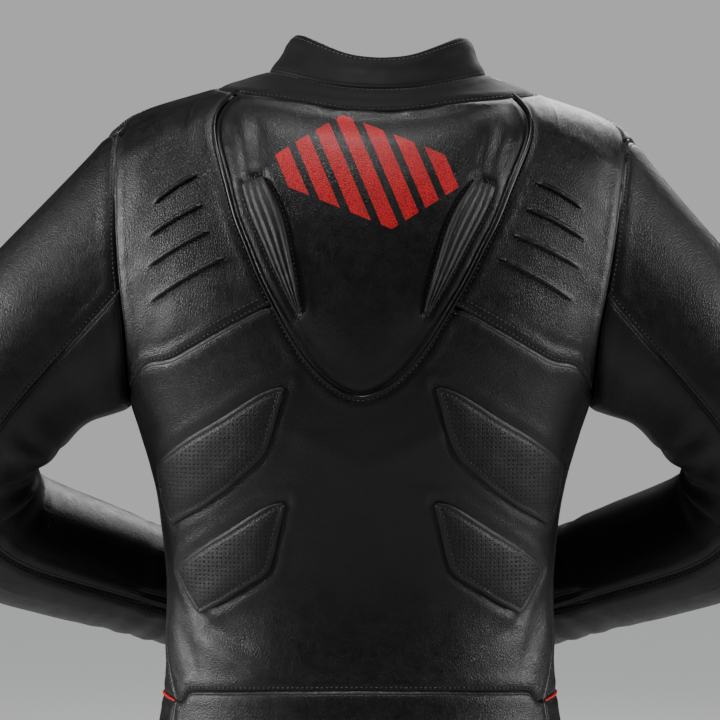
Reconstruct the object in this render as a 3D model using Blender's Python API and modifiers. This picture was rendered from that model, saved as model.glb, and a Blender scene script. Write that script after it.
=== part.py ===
"""Hollow leather motorcycle jacket in the pose in which it is worn.

Metres, +Z up. The origin is inside the neck at the height of the collar seam,
the front faces -Y and the wearer's left is +X.

Every torso panel lies on one body form. A place on that form has two numbers:
around, which is 0 at centre back, 1 at the left side and 2 at centre front
(negative on the right), and the height z. Panels are fields between four seams,
and neighbours share the points of their seam.
"""
import math

import bmesh
import bpy
import numpy as np
from mathutils import Matrix, Vector
from mathutils.bvhtree import BVHTree

COLLECTION = "motorcycle_jacket"
SIDE_WORDS = {1: "left", -1: "right"}

# Driving dimensions
LEATHER = 0.0018
SOFT_LEATHER = 0.0024
SEAM_HALF_GAP = 0.0003
PIPED_HALF_GAP = 0.0013
PIPING_RADIUS = 0.0020
PIPING_LIFT = 0.0010
WAIST_PIPING_RADIUS = 0.0014
FRONT_WAIST_HEIGHT = -0.5560
HEM_HEIGHT = -0.612
HUMP_RISE = 0.016
HUMP_ROOF, HUMP_FOOT = 0.034, 0.040
RIDGE_RISE = 0.0042
PAD_LIFT = 0.0013
PAD_EDGE = 0.0012
PAD_RISE = 0.0045
INSERT_RISE = 0.0024
RIB_RISE = 0.0026
COLLAR_HEIGHT = 0.034
COLLAR_LEAN_BACK, COLLAR_LEAN_SIDE = 0.020, 0.021
ZIP_HALF_GAP = 0.0046
ZIP_CHAIN_WIDTH = 0.0062

# The body form, a section for each height.
# Columns: height, half width, y at the side, y at the back, y in front, roundness
BODY = (
    (-0.6200, 0.196, 0.000, 0.131, -0.131, 2.30),
    (-0.5500, 0.183, 0.000, 0.120, -0.124, 2.30),
    (-0.5160, 0.180, 0.000, 0.115, -0.120, 2.30),
    (-0.4600, 0.1765, 0.000, 0.113, -0.117, 2.30),
    (-0.4300, 0.180, 0.002, 0.117, -0.117, 2.30),
    (-0.3600, 0.189, 0.006, 0.132, -0.118, 2.35),
    (-0.3350, 0.196, 0.008, 0.139, -0.119, 2.35),
    (-0.2835, 0.213, 0.012, 0.150, -0.120, 2.35),
    (-0.2350, 0.238, 0.015, 0.156, -0.119, 2.35),
    (-0.1800, 0.256, 0.016, 0.157, -0.114, 2.35),
    (-0.1200, 0.262, 0.015, 0.150, -0.103, 2.35),
    (-0.0650, 0.254, 0.012, 0.131, -0.086, 2.30),
    (-0.0350, 0.238, 0.009, 0.115, -0.074, 2.20),
    (-0.0180, 0.212, 0.006, 0.101, -0.068, 2.10),
    (-0.0050, 0.171, 0.003, 0.087, -0.064, 2.05),
    (0.0060, 0.138, 0.000, 0.074, -0.060, 2.00),
    (0.0194, 0.102, -0.003, 0.064, -0.052, 2.00),
    (0.0500, 0.060, -0.004, 0.046, -0.040, 2.00),
)

# Large soft folds.
# Columns: around, height, half length, half width, tilt in degrees, rise above the form
FOLDS = (
    (0.82, -0.502, 0.060, 0.020, 24, 0.0045),
    (-0.82, -0.498, 0.060, 0.020, -22, 0.0045),
    (1.28, -0.480, 0.060, 0.020, -22, 0.0045),
    (-1.30, -0.490, 0.060, 0.020, 20, 0.0045),
    (1.52, -0.300, 0.060, 0.020, 40, 0.0040),
    (-1.50, -0.310, 0.060, 0.020, -42, 0.0040),
)

# Seams on the back, as distance from the middle and height
HUMP_SIDE_SEAM = (
    (0.1235, -0.0055), (0.1320, -0.0110), (0.1390, -0.0200), (0.1424, -0.0345), (0.1395, -0.0520),
    (0.1340, -0.0680), (0.1267, -0.0887), (0.1150, -0.1230), (0.1030, -0.1490), (0.0908, -0.1770),
    (0.0796, -0.1970),
)
HUMP_LOWER_SEAM = (
    (0.0796, -0.1970), (0.0708, -0.2127), (0.0575, -0.2345), (0.0423, -0.2547), (0.0233, -0.2715),
    (0.0100, -0.2790), (0.0, -0.2815),
)
HUMP_TOP_SEAM = (
    (0.1235, -0.0055), (0.1050, -0.0085), (0.0850, -0.0115), (0.0650, -0.0150), (0.0450, -0.0195),
    (0.0250, -0.0225), (0.0, -0.0235),
)
BLADE_SEAM = (
    (0.0796, -0.1970), (0.1070, -0.2120), (0.1360, -0.2285), (0.1700, -0.2503), (0.1790, -0.2485),
    (0.1875, -0.2457), (0.1966, -0.2542), (0.2050, -0.2660), (0.2115, -0.2785),
)
COLLAR_SEAM_BACK = (
    (0.0, -0.0013), (0.0300, 0.0003), (0.0476, 0.0037), (0.0665, 0.0088), (0.0855, 0.0145),
    (0.0990, 0.0185),
)
WAIST_SEAM_BACK = (
    (0.0, -0.5412), (0.0800, -0.5425), (0.1545, -0.5460), (0.1605, -0.5585), (0.1670, -0.5570),
)

# The collar seam in front, as distance from the middle and height
COLLAR_SEAM_FRONT = (
    (0.1000, 0.0160), (0.0980, 0.0060), (0.0900, -0.0100), (0.0740, -0.0280), (0.0520, -0.0460),
    (0.0270, -0.0600), (ZIP_HALF_GAP, -0.0660),
)

# Seams round the side and the front, as around and height
COLLAR_SEAM_SIDE = (1.0, 0.0190)
SHOULDER_SEAM = ((1.0, 0.0045), (0.98, -0.0100), (0.91, -0.0260), (0.80, -0.0406))
ARMHOLE_BACK = (
    (0.80, -0.0406), (0.70, -0.0700), (0.653, -0.1000), (0.630, -0.1500), (0.640, -0.2000),
    (0.672, -0.2300), (0.755, -0.2600), (0.884, -0.2785),
)
ARMHOLE_FRONT = (
    (0.80, -0.0406), (1.00, -0.0470), (1.18, -0.0600), (1.30, -0.0900), (1.35, -0.1400),
    (1.35, -0.1900), (1.29, -0.2350), (1.20, -0.2680), (1.10, -0.2870),
)
SIDE_SEAM_BACK = (
    (0.884, -0.2785), (0.915, -0.3300), (0.925, -0.4000), (0.915, -0.4600), (0.870, -0.5100),
    (0.790, -0.5400), (0.710, -0.5570),
)
SIDE_SEAM_FRONT = ((1.10, -0.2870), (1.17, -0.3600), (1.24, -0.4600), (1.29, -0.5560))
WAIST_SEAM_SIDE = ((0.710, -0.5570), (1.00, -0.5535), (1.29, -0.5560))

# Rows of a shoulder blade panel.
# Columns: height on the hump seam, height on the armhole, 1 where a ridge runs
BLADE_ROWS = (
    (-0.0055, -0.0406, 0), (-0.0200, -0.0620, 0), (-0.0380, -0.0850, 0), (-0.0560, -0.1060, 0),
    (-0.0680, -0.1240, 0), (-0.0750, -0.1310, 1), (-0.0820, -0.1380, 0),
    (-0.0930, -0.1485, 0), (-0.1000, -0.1555, 1), (-0.1070, -0.1625, 0),
    (-0.1185, -0.1720, 0), (-0.1255, -0.1790, 1), (-0.1325, -0.1860, 0),
    (-0.1405, -0.2010, 0), (-0.1475, -0.2080, 1), (-0.1545, -0.2150, 0),
    (-0.1750, -0.2450, 0), (-0.1970, -0.2785, 0),
)
RIDGE_FROM, RIDGE_TO, RIDGE_TAPER = 0.16, 0.64, 0.10

# Raised perforated pads: their four sides, as distance from the middle and height
UPPER_PAD = {
    "top": ((0.0640, -0.2680), (0.0770, -0.2690), (0.1240, -0.2990), (0.1700, -0.3280), (0.1825, -0.3390)),
    "outer": ((0.1825, -0.3390), (0.1850, -0.3465), (0.1808, -0.3710), (0.1755, -0.3880), (0.1695, -0.3970)),
    "bottom": ((0.0830, -0.3290), (0.0900, -0.3385), (0.1180, -0.3640), (0.1400, -0.3800), (0.1695, -0.3970)),
    "inner": ((0.0640, -0.2680), (0.0690, -0.2830), (0.0750, -0.3060), (0.0790, -0.3180), (0.0830, -0.3290)),
}
LOWER_PAD = {
    "top": ((0.0640, -0.3710), (0.0780, -0.3725), (0.1160, -0.3975), (0.1500, -0.4200), (0.1640, -0.4310)),
    "outer": ((0.1640, -0.4310), (0.1668, -0.4385), (0.1600, -0.4520), (0.1520, -0.4660), (0.1440, -0.4780)),
    "bottom": ((0.0790, -0.4330), (0.0840, -0.4400), (0.1050, -0.4540), (0.1230, -0.4660), (0.1440, -0.4780)),
    "inner": ((0.0640, -0.3710), (0.0680, -0.3870), (0.0735, -0.4105), (0.0765, -0.4230), (0.0790, -0.4330)),
}
PAD_EDGE_SHARE = 0.16
PAD_STEPS = 8

# Ribbed inserts on the hump: the outer and the inner edge, from the top to the tip
INSERT_OUTER = ((0.1115, -0.0935), (0.1060, -0.1130), (0.0910, -0.1430), (0.0750, -0.1760), (0.0580, -0.2060))
INSERT_INNER = ((0.0930, -0.0880), (0.0790, -0.1080), (0.0690, -0.1330), (0.0600, -0.1720), (0.0530, -0.2060))
INSERT_RIBS = 4
INSERT_STEPS = 8
INSERT_EDGE_SHARE = 0.10

# The sleeve's centre line: a straight upper arm, a bent elbow and a straight forearm
ARM_START = Vector((0.255, 0.010, -0.174))
UPPER_ARM_DIRECTION = Vector((0.64, -0.03, -0.768)).normalized()
FOREARM_DIRECTION = Vector((-0.783, -0.539, -0.310)).normalized()
UPPER_ARM_LENGTH = 0.148
ELBOW_RADIUS = 0.090
FOREARM_LENGTH = 0.227
CUFF_LENGTH = 0.045
FOLD_TURN = 40
SLEEVE_HEAD_SHARES = (0.25, 0.50, 0.75)
# Columns: share of the sleeve's length, radius, height of the soft folds
SLEEVE_RINGS = (
    (0.195, 0.0850, 0.000), (0.270, 0.0810, 0.002), (0.345, 0.0770, -0.002), (0.420, 0.0735, 0.002),
    (0.495, 0.0705, -0.002), (0.570, 0.0680, 0.003), (0.660, 0.0645, -0.002), (0.775, 0.0600, 0.001),
    (0.890, 0.0550, -0.001), (1.000, 0.0505, 0.000),
)
WRIST_TAPER = 0.0015
UNDER_SLEEVE_FROM, UNDER_SLEEVE_TO = 12, 25

# How many steps each seam has
STEPS = {
    "yoke_end": 3, "shoulder": 6, "collar_side": 3, "collar_front": 6, "hump_half": 6,
    "armhole_side": 3, "armhole_front": 12, "side": 9, "band": 2, "collar": 3,
}

# Zip slider and its pull, at the top of the front
ZIP_CHAIN_THICKNESS = 0.0026
ZIP_STEPS = 25
SLIDER_SIZE = Vector((0.0090, 0.0040, 0.0110))
SLIDER_HEIGHT = -0.0860
SLIDER_CLEARANCE = 0.0007
EAR_SIZE = Vector((0.0014, 0.0040, 0.0044))
EAR_SINK = 0.0005
PIN_LENGTH = 0.0048
PIN_RADIUS = 0.0011
PIN_STANDOFF = 0.0016
PIN_HEIGHT = 0.0024
NECK_LENGTH = 0.0090
PULL_SIZE = Vector((0.0072, 0.0016, 0.0280))
SLIDE_GAP = 0.0004

# The wearer's slight lean, none below the ribs and full at the shoulders
LEAN_FROM, LEAN_FULL = -0.33, 0.02
LEAN_SHIFT = 0.0165
LEAN_TILT = 0.018


def clear_scene():
    for old in list(bpy.data.objects):
        bpy.data.objects.remove(old, do_unlink=True)


def make_material(name, color, roughness, metallic=0.0):
    material = bpy.data.materials.new(name)
    material.use_nodes = True
    shader = material.node_tree.nodes["Principled BSDF"]
    shader.inputs["Base Color"].default_value = (*color, 1.0)
    shader.inputs["Roughness"].default_value = roughness
    shader.inputs["Metallic"].default_value = metallic
    return material


def new_object(name, mesh, material):
    item = bpy.data.objects.new(name, mesh)
    bpy.data.collections[COLLECTION].objects.link(item)
    mesh.materials.append(material)
    return item


# The body form and the chart on it

def body_section(height):
    """The form's measures at a height, smooth between the table's rows."""
    rows = np.array(BODY)
    heights = rows[:, 0]
    height = min(max(height, heights[0]), heights[-1])
    i = int(min(max(np.searchsorted(heights, height) - 1, 0), len(heights) - 2))
    step = heights[i + 1] - heights[i]
    t = (height - heights[i]) / step
    slopes = np.gradient(rows[:, 1:], heights, axis=0)
    return ((1 + 2 * t) * (1 - t) ** 2 * rows[i, 1:] + t * (1 - t) ** 2 * step * slopes[i]
            + t * t * (3 - 2 * t) * rows[i + 1, 1:] + t * t * (t - 1) * step * slopes[i + 1])


def form_point(around, height):
    half_width, side_y, back_y, front_y, roundness = body_section(height)
    angle = abs(around) * math.pi / 2
    across = half_width * max(math.sin(angle), 0.0) ** (2 / roundness)
    reach = (back_y if angle < math.pi / 2 else front_y) - side_y
    depth = side_y + reach * abs(math.cos(angle)) ** (2 / roundness)
    return Vector((math.copysign(across, around), depth, height))


def form_normal(around, height, step=0.012):
    sideways = form_point(around + step, height) - form_point(around - step, height)
    upward = form_point(around, height + step / 4) - form_point(around, height - step / 4)
    normal = upward.cross(sideways)
    outward = form_point(around, height) - Vector((0.0, 0.01, height - 0.02))
    return (normal if normal.dot(outward) > 0 else -normal).normalized()


def fold_rise(around, height):
    """Height of the soft folds above the plain form."""
    half_width = body_section(height)[0]
    rise = 0.0
    for place, level, half_length, half_wide, tilt_deg, top in FOLDS:
        sideways = (around - place) * half_width * 1.3
        upward = height - level
        tilt = math.radians(tilt_deg)
        along = sideways * math.cos(tilt) + upward * math.sin(tilt)
        across = upward * math.cos(tilt) - sideways * math.sin(tilt)
        rise += top * math.exp(-(along / half_length) ** 2 - (across / half_wide) ** 2)
    return rise


def form_skin(around, height, out=0.0):
    """A point of the jacket's outer face, or one that lies out beyond it."""
    return form_point(around, height) + form_normal(around, height) * (fold_rise(around, height) + out)


def around_at(distance, height, front=False):
    """The chart's first number for a distance from the middle."""
    half_width, _, _, _, roundness = body_section(height)
    share = min(abs(distance) / half_width, 1.0) ** (roundness / 2)
    place = math.asin(share) * 2 / math.pi
    return math.copysign(2 - place if front else place, distance if distance else 1.0)


def chart(points, front=False):
    """Distances from the middle turned into chart points."""
    return [(around_at(x, z, front), z) for x, z in points]


def worn(point):
    """The wearer's slight lean, which every piece follows."""
    lean = min(max((point.z - LEAN_FROM) / (LEAN_FULL - LEAN_FROM), 0.0), 1.5)
    return Vector((point.x - LEAN_SHIFT * lean ** 2, point.y, point.z + LEAN_TILT * point.x * min(lean, 1.0)))


# Seams as lists of chart points

def resampled(points, steps):
    """Points at even distances along a line of chart points."""
    path = np.array(points, float)
    places = np.array([form_point(w, z) for w, z in path])
    lengths = np.concatenate(([0.0], np.cumsum(np.linalg.norm(np.diff(places, axis=0), axis=1))))
    wanted = np.linspace(0.0, lengths[-1], steps + 1)
    return np.column_stack([np.interp(wanted, lengths, path[:, 0]), np.interp(wanted, lengths, path[:, 1])])


def at_heights(points, heights):
    """Points of a falling line at given heights."""
    path = np.array(points, float)[::-1]
    return np.column_stack([np.interp(heights, path[:, 1], path[:, 0]), heights])


def pinned(seam, start=None, end=None):
    """A seam shifted gently so that its ends are exactly those of its neighbours."""
    share = np.linspace(0.0, 1.0, len(seam))[:, None]
    shift = (0.0 if start is None else (start - seam[0]) * (1 - share))
    return seam + shift + (0.0 if end is None else (end - seam[-1]) * share)


def mirrored(seam):
    return np.column_stack([-seam[:, 0], seam[:, 1]])


def on_side(rows, side):
    """Rows made for the left, as they are or mirrored to the right."""
    return np.array([mirrored(np.array(row)) if side < 0 else row for row in rows])


def joined(*seams):
    parts = [seams[0]] + [seam[1:] for seam in seams[1:]]
    return np.concatenate(parts)


def rounded(points, per_span=6):
    """A finer, softly curved line through the points of a seam table."""
    path = np.array(points, float)
    count = len(path)
    fine = [path[0]]
    for i in range(count - 1):
        before, here, there, after = path[max(i - 1, 0)], path[i], path[i + 1], path[min(i + 2, count - 1)]
        for step in range(1, per_span + 1):
            t = step / per_span
            fine.append(0.5 * (2 * here + (there - before) * t + (2 * before - 5 * here + 4 * there - after) * t ** 2
                               + (3 * here - before - 3 * there + after) * t ** 3))
    return fine


def cut_seams():
    """Every seam of the left half, as chart points with a fixed number of steps."""
    blade = np.array(BLADE_ROWS, float)
    hump_side = at_heights(chart(rounded(HUMP_SIDE_SEAM)), blade[:, 0])
    armhole_back = at_heights(rounded(ARMHOLE_BACK), blade[:, 1])
    corner = np.array([SHOULDER_SEAM[0]])
    hem_corner = resampled(rounded(SIDE_SEAM_BACK), 1)[-1]
    steps_back = STEPS["yoke_end"] + STEPS["shoulder"]
    seams = {
        "hump_side": hump_side,
        "hump_lower": pinned(resampled(chart(rounded(HUMP_LOWER_SEAM)), STEPS["hump_half"]), hump_side[-1]),
        "hump_top": pinned(resampled(chart(rounded(HUMP_TOP_SEAM)), STEPS["hump_half"]), hump_side[0]),
        "yoke_end": resampled([hump_side[0], corner[0]], STEPS["yoke_end"]),
        "shoulder": pinned(resampled(rounded(SHOULDER_SEAM), STEPS["shoulder"]), corner[0], armhole_back[0]),
        "blade": pinned(resampled(chart(BLADE_SEAM), steps_back), hump_side[-1], armhole_back[-1]),
        "armhole_back": armhole_back,
        "armhole_side": resampled([ARMHOLE_BACK[-1], (0.99, -0.2905), ARMHOLE_FRONT[-1]], STEPS["armhole_side"]),
        "armhole_front": pinned(resampled(rounded(ARMHOLE_FRONT), STEPS["armhole_front"]), armhole_back[0]),
        "side_back": resampled(rounded(SIDE_SEAM_BACK), STEPS["side"]),
        "side_front": resampled(rounded(SIDE_SEAM_FRONT), STEPS["side"]),
        "waist_side": resampled(rounded(WAIST_SEAM_SIDE), STEPS["armhole_side"]),
        "waist_back": pinned(resampled(chart(WAIST_SEAM_BACK), STEPS["hump_half"] + steps_back), end=hem_corner),
        "collar_back": resampled(chart(rounded(COLLAR_SEAM_BACK)), STEPS["hump_half"] + STEPS["yoke_end"]),
    }
    neck_line = [seams["collar_back"][-1], COLLAR_SEAM_SIDE] + chart(rounded(COLLAR_SEAM_FRONT), front=True)
    seams["collar_front"] = resampled(neck_line, STEPS["collar_front"])
    seams["collar_side"] = resampled([seams["collar_back"][-1], corner[0]], STEPS["collar_side"])
    return seams


# Fields of points and walls

def form_tree(columns=160, levels=90):
    """The body form as fine facets, to find the place nearest to a point."""
    heights = np.linspace(BODY[0][0], BODY[-1][0], levels + 1)
    points = [form_point(4 * i / columns - 2, z) for z in heights for i in range(columns)]
    faces = []
    for j in range(levels):
        for i in range(columns):
            k = (i + 1) % columns
            faces.append((j * columns + i, j * columns + k, (j + 1) * columns + k, (j + 1) * columns + i))
    return BVHTree.FromPolygons(points, faces)


def nearest_place(point, tree):
    """The chart point of the form's nearest place."""
    spot = tree.find_nearest(point)[0]
    half_width, side_y, back_y, front_y, roundness = body_section(spot.z)
    behind = spot.y >= side_y
    reach = abs((back_y if behind else front_y) - side_y)
    across = (abs(spot.x) / half_width) ** (roundness / 2)
    depth = (abs(spot.y - side_y) / reach) ** (roundness / 2)
    place = math.atan2(across, depth if behind else -depth) * 2 / math.pi
    return np.array((math.copysign(place, spot.x), spot.z))


def field(top, bottom, left, right, tree, hold_top=1, hold_bottom=1):
    """Chart points between four seams. Rows run straight from left to right, and
    the shapes of the top and bottom seams fade out over the rows near them."""
    spots = [[form_point(*place) for place in seam] for seam in (top, bottom, left, right)]
    upper, lower, first, last = spots
    rows = [list(top)]
    for j in range(1, len(left) - 1):
        t = j / (len(left) - 1)
        row = [left[j]]
        for i in range(1, len(top) - 1):
            s = i / (len(top) - 1)
            point = first[j].lerp(last[j], s)
            point += (upper[i] - upper[0].lerp(upper[-1], s)) * (1 - t) ** hold_top
            point += (lower[i] - lower[0].lerp(lower[-1], s)) * t ** hold_bottom
            row.append(nearest_place(point, tree))
        rows.append(row + [right[j]])
    return np.array(rows + [list(bottom)])


def drawn_in(rows, gap, place):
    """The field's border moved inwards by half a seam's gap."""
    last_row, last_column = len(rows) - 1, len(rows[0]) - 1
    moved = np.array(rows, float)
    for j in range(last_row + 1):
        for i in range(last_column + 1):
            inner_j = min(max(j, 1), last_row - 1) if last_row > 1 else j
            inner_i = min(max(i, 1), last_column - 1) if last_column > 1 else i
            if (inner_j, inner_i) == (j, i):
                continue
            here, there = rows[j][i], rows[inner_j][inner_i]
            length = (place(*there) - place(*here)).length
            moved[j][i] = here + (there - here) * min(gap / max(length, gap), 0.4)
    return moved


def away_from_axis(point):
    return Vector((point.x, point.y - 0.005, 0.0))


def finished_mesh(bm, name, sharp_deg=50):
    mesh = bpy.data.meshes.new(name)
    bm.to_mesh(mesh)
    bm.free()
    mesh.shade_smooth()
    mesh.set_sharp_from_angle(angle=math.radians(sharp_deg))
    return mesh


def thickened_sheet(name, grid, material, thickness, outward=away_from_axis, closed=False):
    """An open sheet through rows of points, with its thickness laid on the inside."""
    bm = bmesh.new()
    verts = [[bm.verts.new(worn(point)) for point in row] for row in grid]
    count = len(grid[0])
    for upper, lower in zip(verts, verts[1:]):
        for i in range(count if closed else count - 1):
            k = (i + 1) % count
            bm.faces.new((upper[i], upper[k], lower[k], lower[i]))
    bm.normal_update()
    if sum(face.normal.dot(outward(face.calc_center_median())) for face in bm.faces) < 0:
        bmesh.ops.reverse_faces(bm, faces=bm.faces)
    item = new_object(name, finished_mesh(bm, name), material)
    solidify = item.modifiers.new("thickness", 'SOLIDIFY')
    solidify.thickness = thickness
    solidify.offset = -1.0
    return item


def wall(name, outer_grid, inner_grid, material):
    """A wall lofted between two unlike skins, the outer one with its relief and the
    plain inner one. Walls that meet at a seam keep one gap through their thickness."""
    bm = bmesh.new()
    outer, inner = ([[bm.verts.new(worn(point)) for point in row] for row in grid]
                    for grid in (outer_grid, inner_grid))
    last_row, last_column = len(outer) - 1, len(outer[0]) - 1
    for j in range(last_row):
        for i in range(last_column):
            bm.faces.new((outer[j][i], outer[j][i + 1], outer[j + 1][i + 1], outer[j + 1][i]))
            bm.faces.new((inner[j + 1][i], inner[j + 1][i + 1], inner[j][i + 1], inner[j][i]))
    border = [(0, i) for i in range(last_column)] + [(j, last_column) for j in range(last_row)]
    border += [(last_row, i) for i in range(last_column, 0, -1)] + [(j, 0) for j in range(last_row, 0, -1)]
    for (j, i), (next_j, next_i) in zip(border, border[1:] + border[:1]):
        bm.faces.new((outer[next_j][next_i], outer[j][i], inner[j][i], inner[next_j][next_i]))
    bmesh.ops.recalc_face_normals(bm, faces=bm.faces)
    return new_object(name, finished_mesh(bm, name), material)


def panel(name, rows, material, gap=SEAM_HALF_GAP, base=form_skin, relief=None, under=-LEATHER):
    """A piece on a skin. Relief is a rule of the column's and the row's share and
    the row's number, and the inner face lies at one distance from the skin."""
    rows = drawn_in(rows, gap, base)
    outer, inner = [], []
    for j, row in enumerate(rows):
        t = j / (len(rows) - 1)
        shares = [i / (len(row) - 1) for i in range(len(row))]
        outer.append([base(w, z, relief(s, t, j) if relief else 0.0) for s, (w, z) in zip(shares, row)])
        inner.append([base(w, z, under) for w, z in row])
    return wall(name, outer, inner, material)


def skin_of(rows, base):
    """The faceted outer skin of a panel, for the pieces that lie on it."""
    points = [base(w, z) for row in rows for w, z in row]
    width = len(rows[0])
    faces = [(j * width + i, j * width + i + 1, (j + 1) * width + i + 1, (j + 1) * width + i)
             for j in range(len(rows) - 1) for i in range(width - 1)]
    tree = BVHTree.FromPolygons(points, faces)

    def on_skin(around, height, out=0.0):
        normal = form_normal(around, height)
        start = form_point(around, height) + normal * 0.06
        hit = tree.ray_cast(start, -normal)[0] or base(around, height)
        return hit + normal * out

    return on_skin


# The hump's form

def eased(share):
    share = min(max(share, 0.0), 1.0)
    return share * share * (3 - 2 * share)


def hump_rise(around, height):
    """How far the padded hump stands out from the back."""
    distance = abs(form_point(around, height).x)
    sides = np.array(HUMP_SIDE_SEAM + HUMP_LOWER_SEAM[1:])[::-1]
    half = max(float(np.interp(height, sides[:, 1], sides[:, 0])), 0.004)
    top = np.array(HUMP_TOP_SEAM)[::-1]
    roof = eased((float(np.interp(distance, top[:, 0], top[:, 1])) - height) / HUMP_ROOF)
    lower = np.array(HUMP_LOWER_SEAM)[::-1]
    foot = eased((height - float(np.interp(distance, lower[:, 0], lower[:, 1]))) / HUMP_FOOT)
    if distance > lower[-1, 0]:
        foot = 1.0
    crown = max(1 - (min(distance, half) / half) ** 2.6, 0.0)
    fade = 0.30 + 0.70 * min(max((height + 0.28) / 0.20, 0.0), 1.0)
    return HUMP_RISE * roof * foot * crown * fade


def hump_skin(around, height, out=0.0):
    """The hump's outer face, or a point beyond it."""
    return form_skin(around, height, hump_rise(around, height) + out)


# Sub-parts of the torso

def make_back_panel(seams, tree, leather):
    top = joined(seams["blade"][::-1], seams["hump_lower"])
    top = joined(top, mirrored(top[::-1]))
    bottom = joined(seams["waist_back"][::-1], mirrored(seams["waist_back"]))
    rows = field(top, bottom, seams["side_back"], mirrored(seams["side_back"]), tree)
    panel("back_panel", rows, leather)
    return skin_of(rows, form_skin)


def make_hump_panel(seams, tree, leather):
    top = joined(seams["hump_top"], mirrored(seams["hump_top"][::-1]))
    bottom = joined(seams["hump_lower"], mirrored(seams["hump_lower"][::-1]))
    rows = field(top, bottom, seams["hump_side"], mirrored(seams["hump_side"]), tree, 2, 2)
    panel("hump_panel", rows, leather, gap=PIPED_HALF_GAP, base=hump_skin)
    return skin_of(rows, hump_skin)


def make_blade_panel(side, seams, tree, leather):
    """The panel on a shoulder blade with its four slanting ridges."""
    top = joined(seams["yoke_end"], seams["shoulder"])
    rows = field(top, seams["blade"], seams["hump_side"], seams["armhole_back"], tree,
                 hold_top=4, hold_bottom=6)

    def ridge(s, t, row):
        if not BLADE_ROWS[row][2]:
            return 0.0
        ends = min(s - RIDGE_FROM, RIDGE_TO - s) / RIDGE_TAPER + 0.5
        return RIDGE_RISE * min(max(ends, 0.0), 1.0)

    panel("blade_panel_" + SIDE_WORDS[side], on_side(rows, side), leather, relief=ridge)


def make_neck_yoke(seams, tree, soft):
    top = joined(seams["collar_back"][::-1], mirrored(seams["collar_back"]))
    half = joined(seams["yoke_end"][::-1], seams["hump_top"])
    bottom = joined(half, mirrored(half[::-1]))
    rows = field(top, bottom, seams["collar_side"], mirrored(seams["collar_side"]), tree)
    panel("neck_yoke", rows, soft)


def make_front_panel(side, seams, tree, leather):
    """A whole front half: shoulder and neck above, armhole and side seam outside."""
    top = joined(seams["shoulder"][::-1], seams["collar_side"][::-1], seams["collar_front"])
    outer = joined(seams["armhole_front"], seams["side_front"])
    heights = np.linspace(seams["collar_front"][-1][1], FRONT_WAIST_HEIGHT, len(outer))
    inner = np.array([(around_at(ZIP_HALF_GAP, z, front=True), z) for z in heights])
    bottom = waist_front_line(seams, len(top) - 1)
    rows = field(top, bottom, outer, inner, tree, hold_top=2)
    panel("front_panel_" + SIDE_WORDS[side], on_side(rows, side), leather)


def waist_front_line(seams, steps):
    start = seams["side_front"][-1]
    end = (around_at(ZIP_HALF_GAP, FRONT_WAIST_HEIGHT, front=True), FRONT_WAIST_HEIGHT)
    return resampled([tuple(start), end], steps)


def make_side_panel(side, seams, tree, leather):
    rows = field(seams["armhole_side"], seams["waist_side"], seams["side_back"], seams["side_front"], tree)
    panel("side_panel_" + SIDE_WORDS[side], on_side(rows, side), leather)


def make_band(name, upper, material):
    """A piece of the waistband, from its seam down to the hem."""
    lower = np.array([(w, HEM_HEIGHT) for w, _ in upper])
    shares = np.linspace(0.0, 1.0, STEPS["band"] + 1)
    panel(name, np.array([upper * (1 - share) + lower * share for share in shares]), material)


def make_waistband(seams, leather):
    back = joined(seams["waist_back"][::-1], mirrored(seams["waist_back"]))
    make_band("waistband_back", back, leather)
    front = waist_front_line(seams, STEPS["shoulder"] + STEPS["collar_side"] + STEPS["collar_front"])
    for side, word in SIDE_WORDS.items():
        make_band("waistband_side_" + word, on_side([seams["waist_side"]], side)[0], leather)
        make_band("waistband_front_" + word, on_side([front], side)[0], leather)


def make_collar(seams, soft):
    """A soft upright band that leans in, higher at the sides of the neck than behind."""
    half = joined(seams["collar_back"], seams["collar_front"])
    around = joined(mirrored(half[::-1]), half)
    base = [form_skin(w, z) for w, z in around]
    rows = []
    for share in np.linspace(1.0, 0.0, STEPS["collar"] + 1):
        row = []
        for (place, _), point in zip(around, base):
            angle = abs(place) * math.pi / 2
            behind = max(math.cos(angle), 0.0)
            before = max(-math.cos(angle), 0.0)
            lean_in = (COLLAR_LEAN_SIDE + (COLLAR_LEAN_BACK - COLLAR_LEAN_SIDE) * behind) * (1 - 0.45 * before)
            lift = COLLAR_HEIGHT * (1 - 0.14 * behind ** 3 - 0.25 * before ** 6)
            row.append(point - away_from_axis(point).normalized() * lean_in * share ** 0.8
                       + Vector((0.0, 0.0, share * lift + 2 * SEAM_HALF_GAP)))
        rows.append(row)
    thickened_sheet("collar", rows, soft, SOFT_LEATHER)


# Pieces that lie on the panels

def side_of(points, steps):
    return resampled(chart(points), steps)


def make_pad(name, sides, side, on_back, tree, material):
    """A raised pad whose edges slope down to the panel it is sewn on."""
    rows = field(side_of(sides["top"], PAD_STEPS), side_of(sides["bottom"], PAD_STEPS),
                 side_of(sides["inner"], PAD_STEPS - 2), side_of(sides["outer"], PAD_STEPS - 2), tree)

    def crowned(s, t, row):
        edge = min(s, 1 - s, t, 1 - t) / PAD_EDGE_SHARE
        return PAD_LIFT + PAD_EDGE + (PAD_RISE - PAD_EDGE) * min(edge, 1.0)

    panel(name, on_side(rows, side), material, base=on_back, relief=crowned, under=PAD_LIFT)


def make_pads(on_back, tree, material):
    for sides, level in ((UPPER_PAD, "upper"), (LOWER_PAD, "lower")):
        for side, word in SIDE_WORDS.items():
            make_pad("pad_" + level + "_" + word, sides, side, on_back, tree, material)


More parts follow.
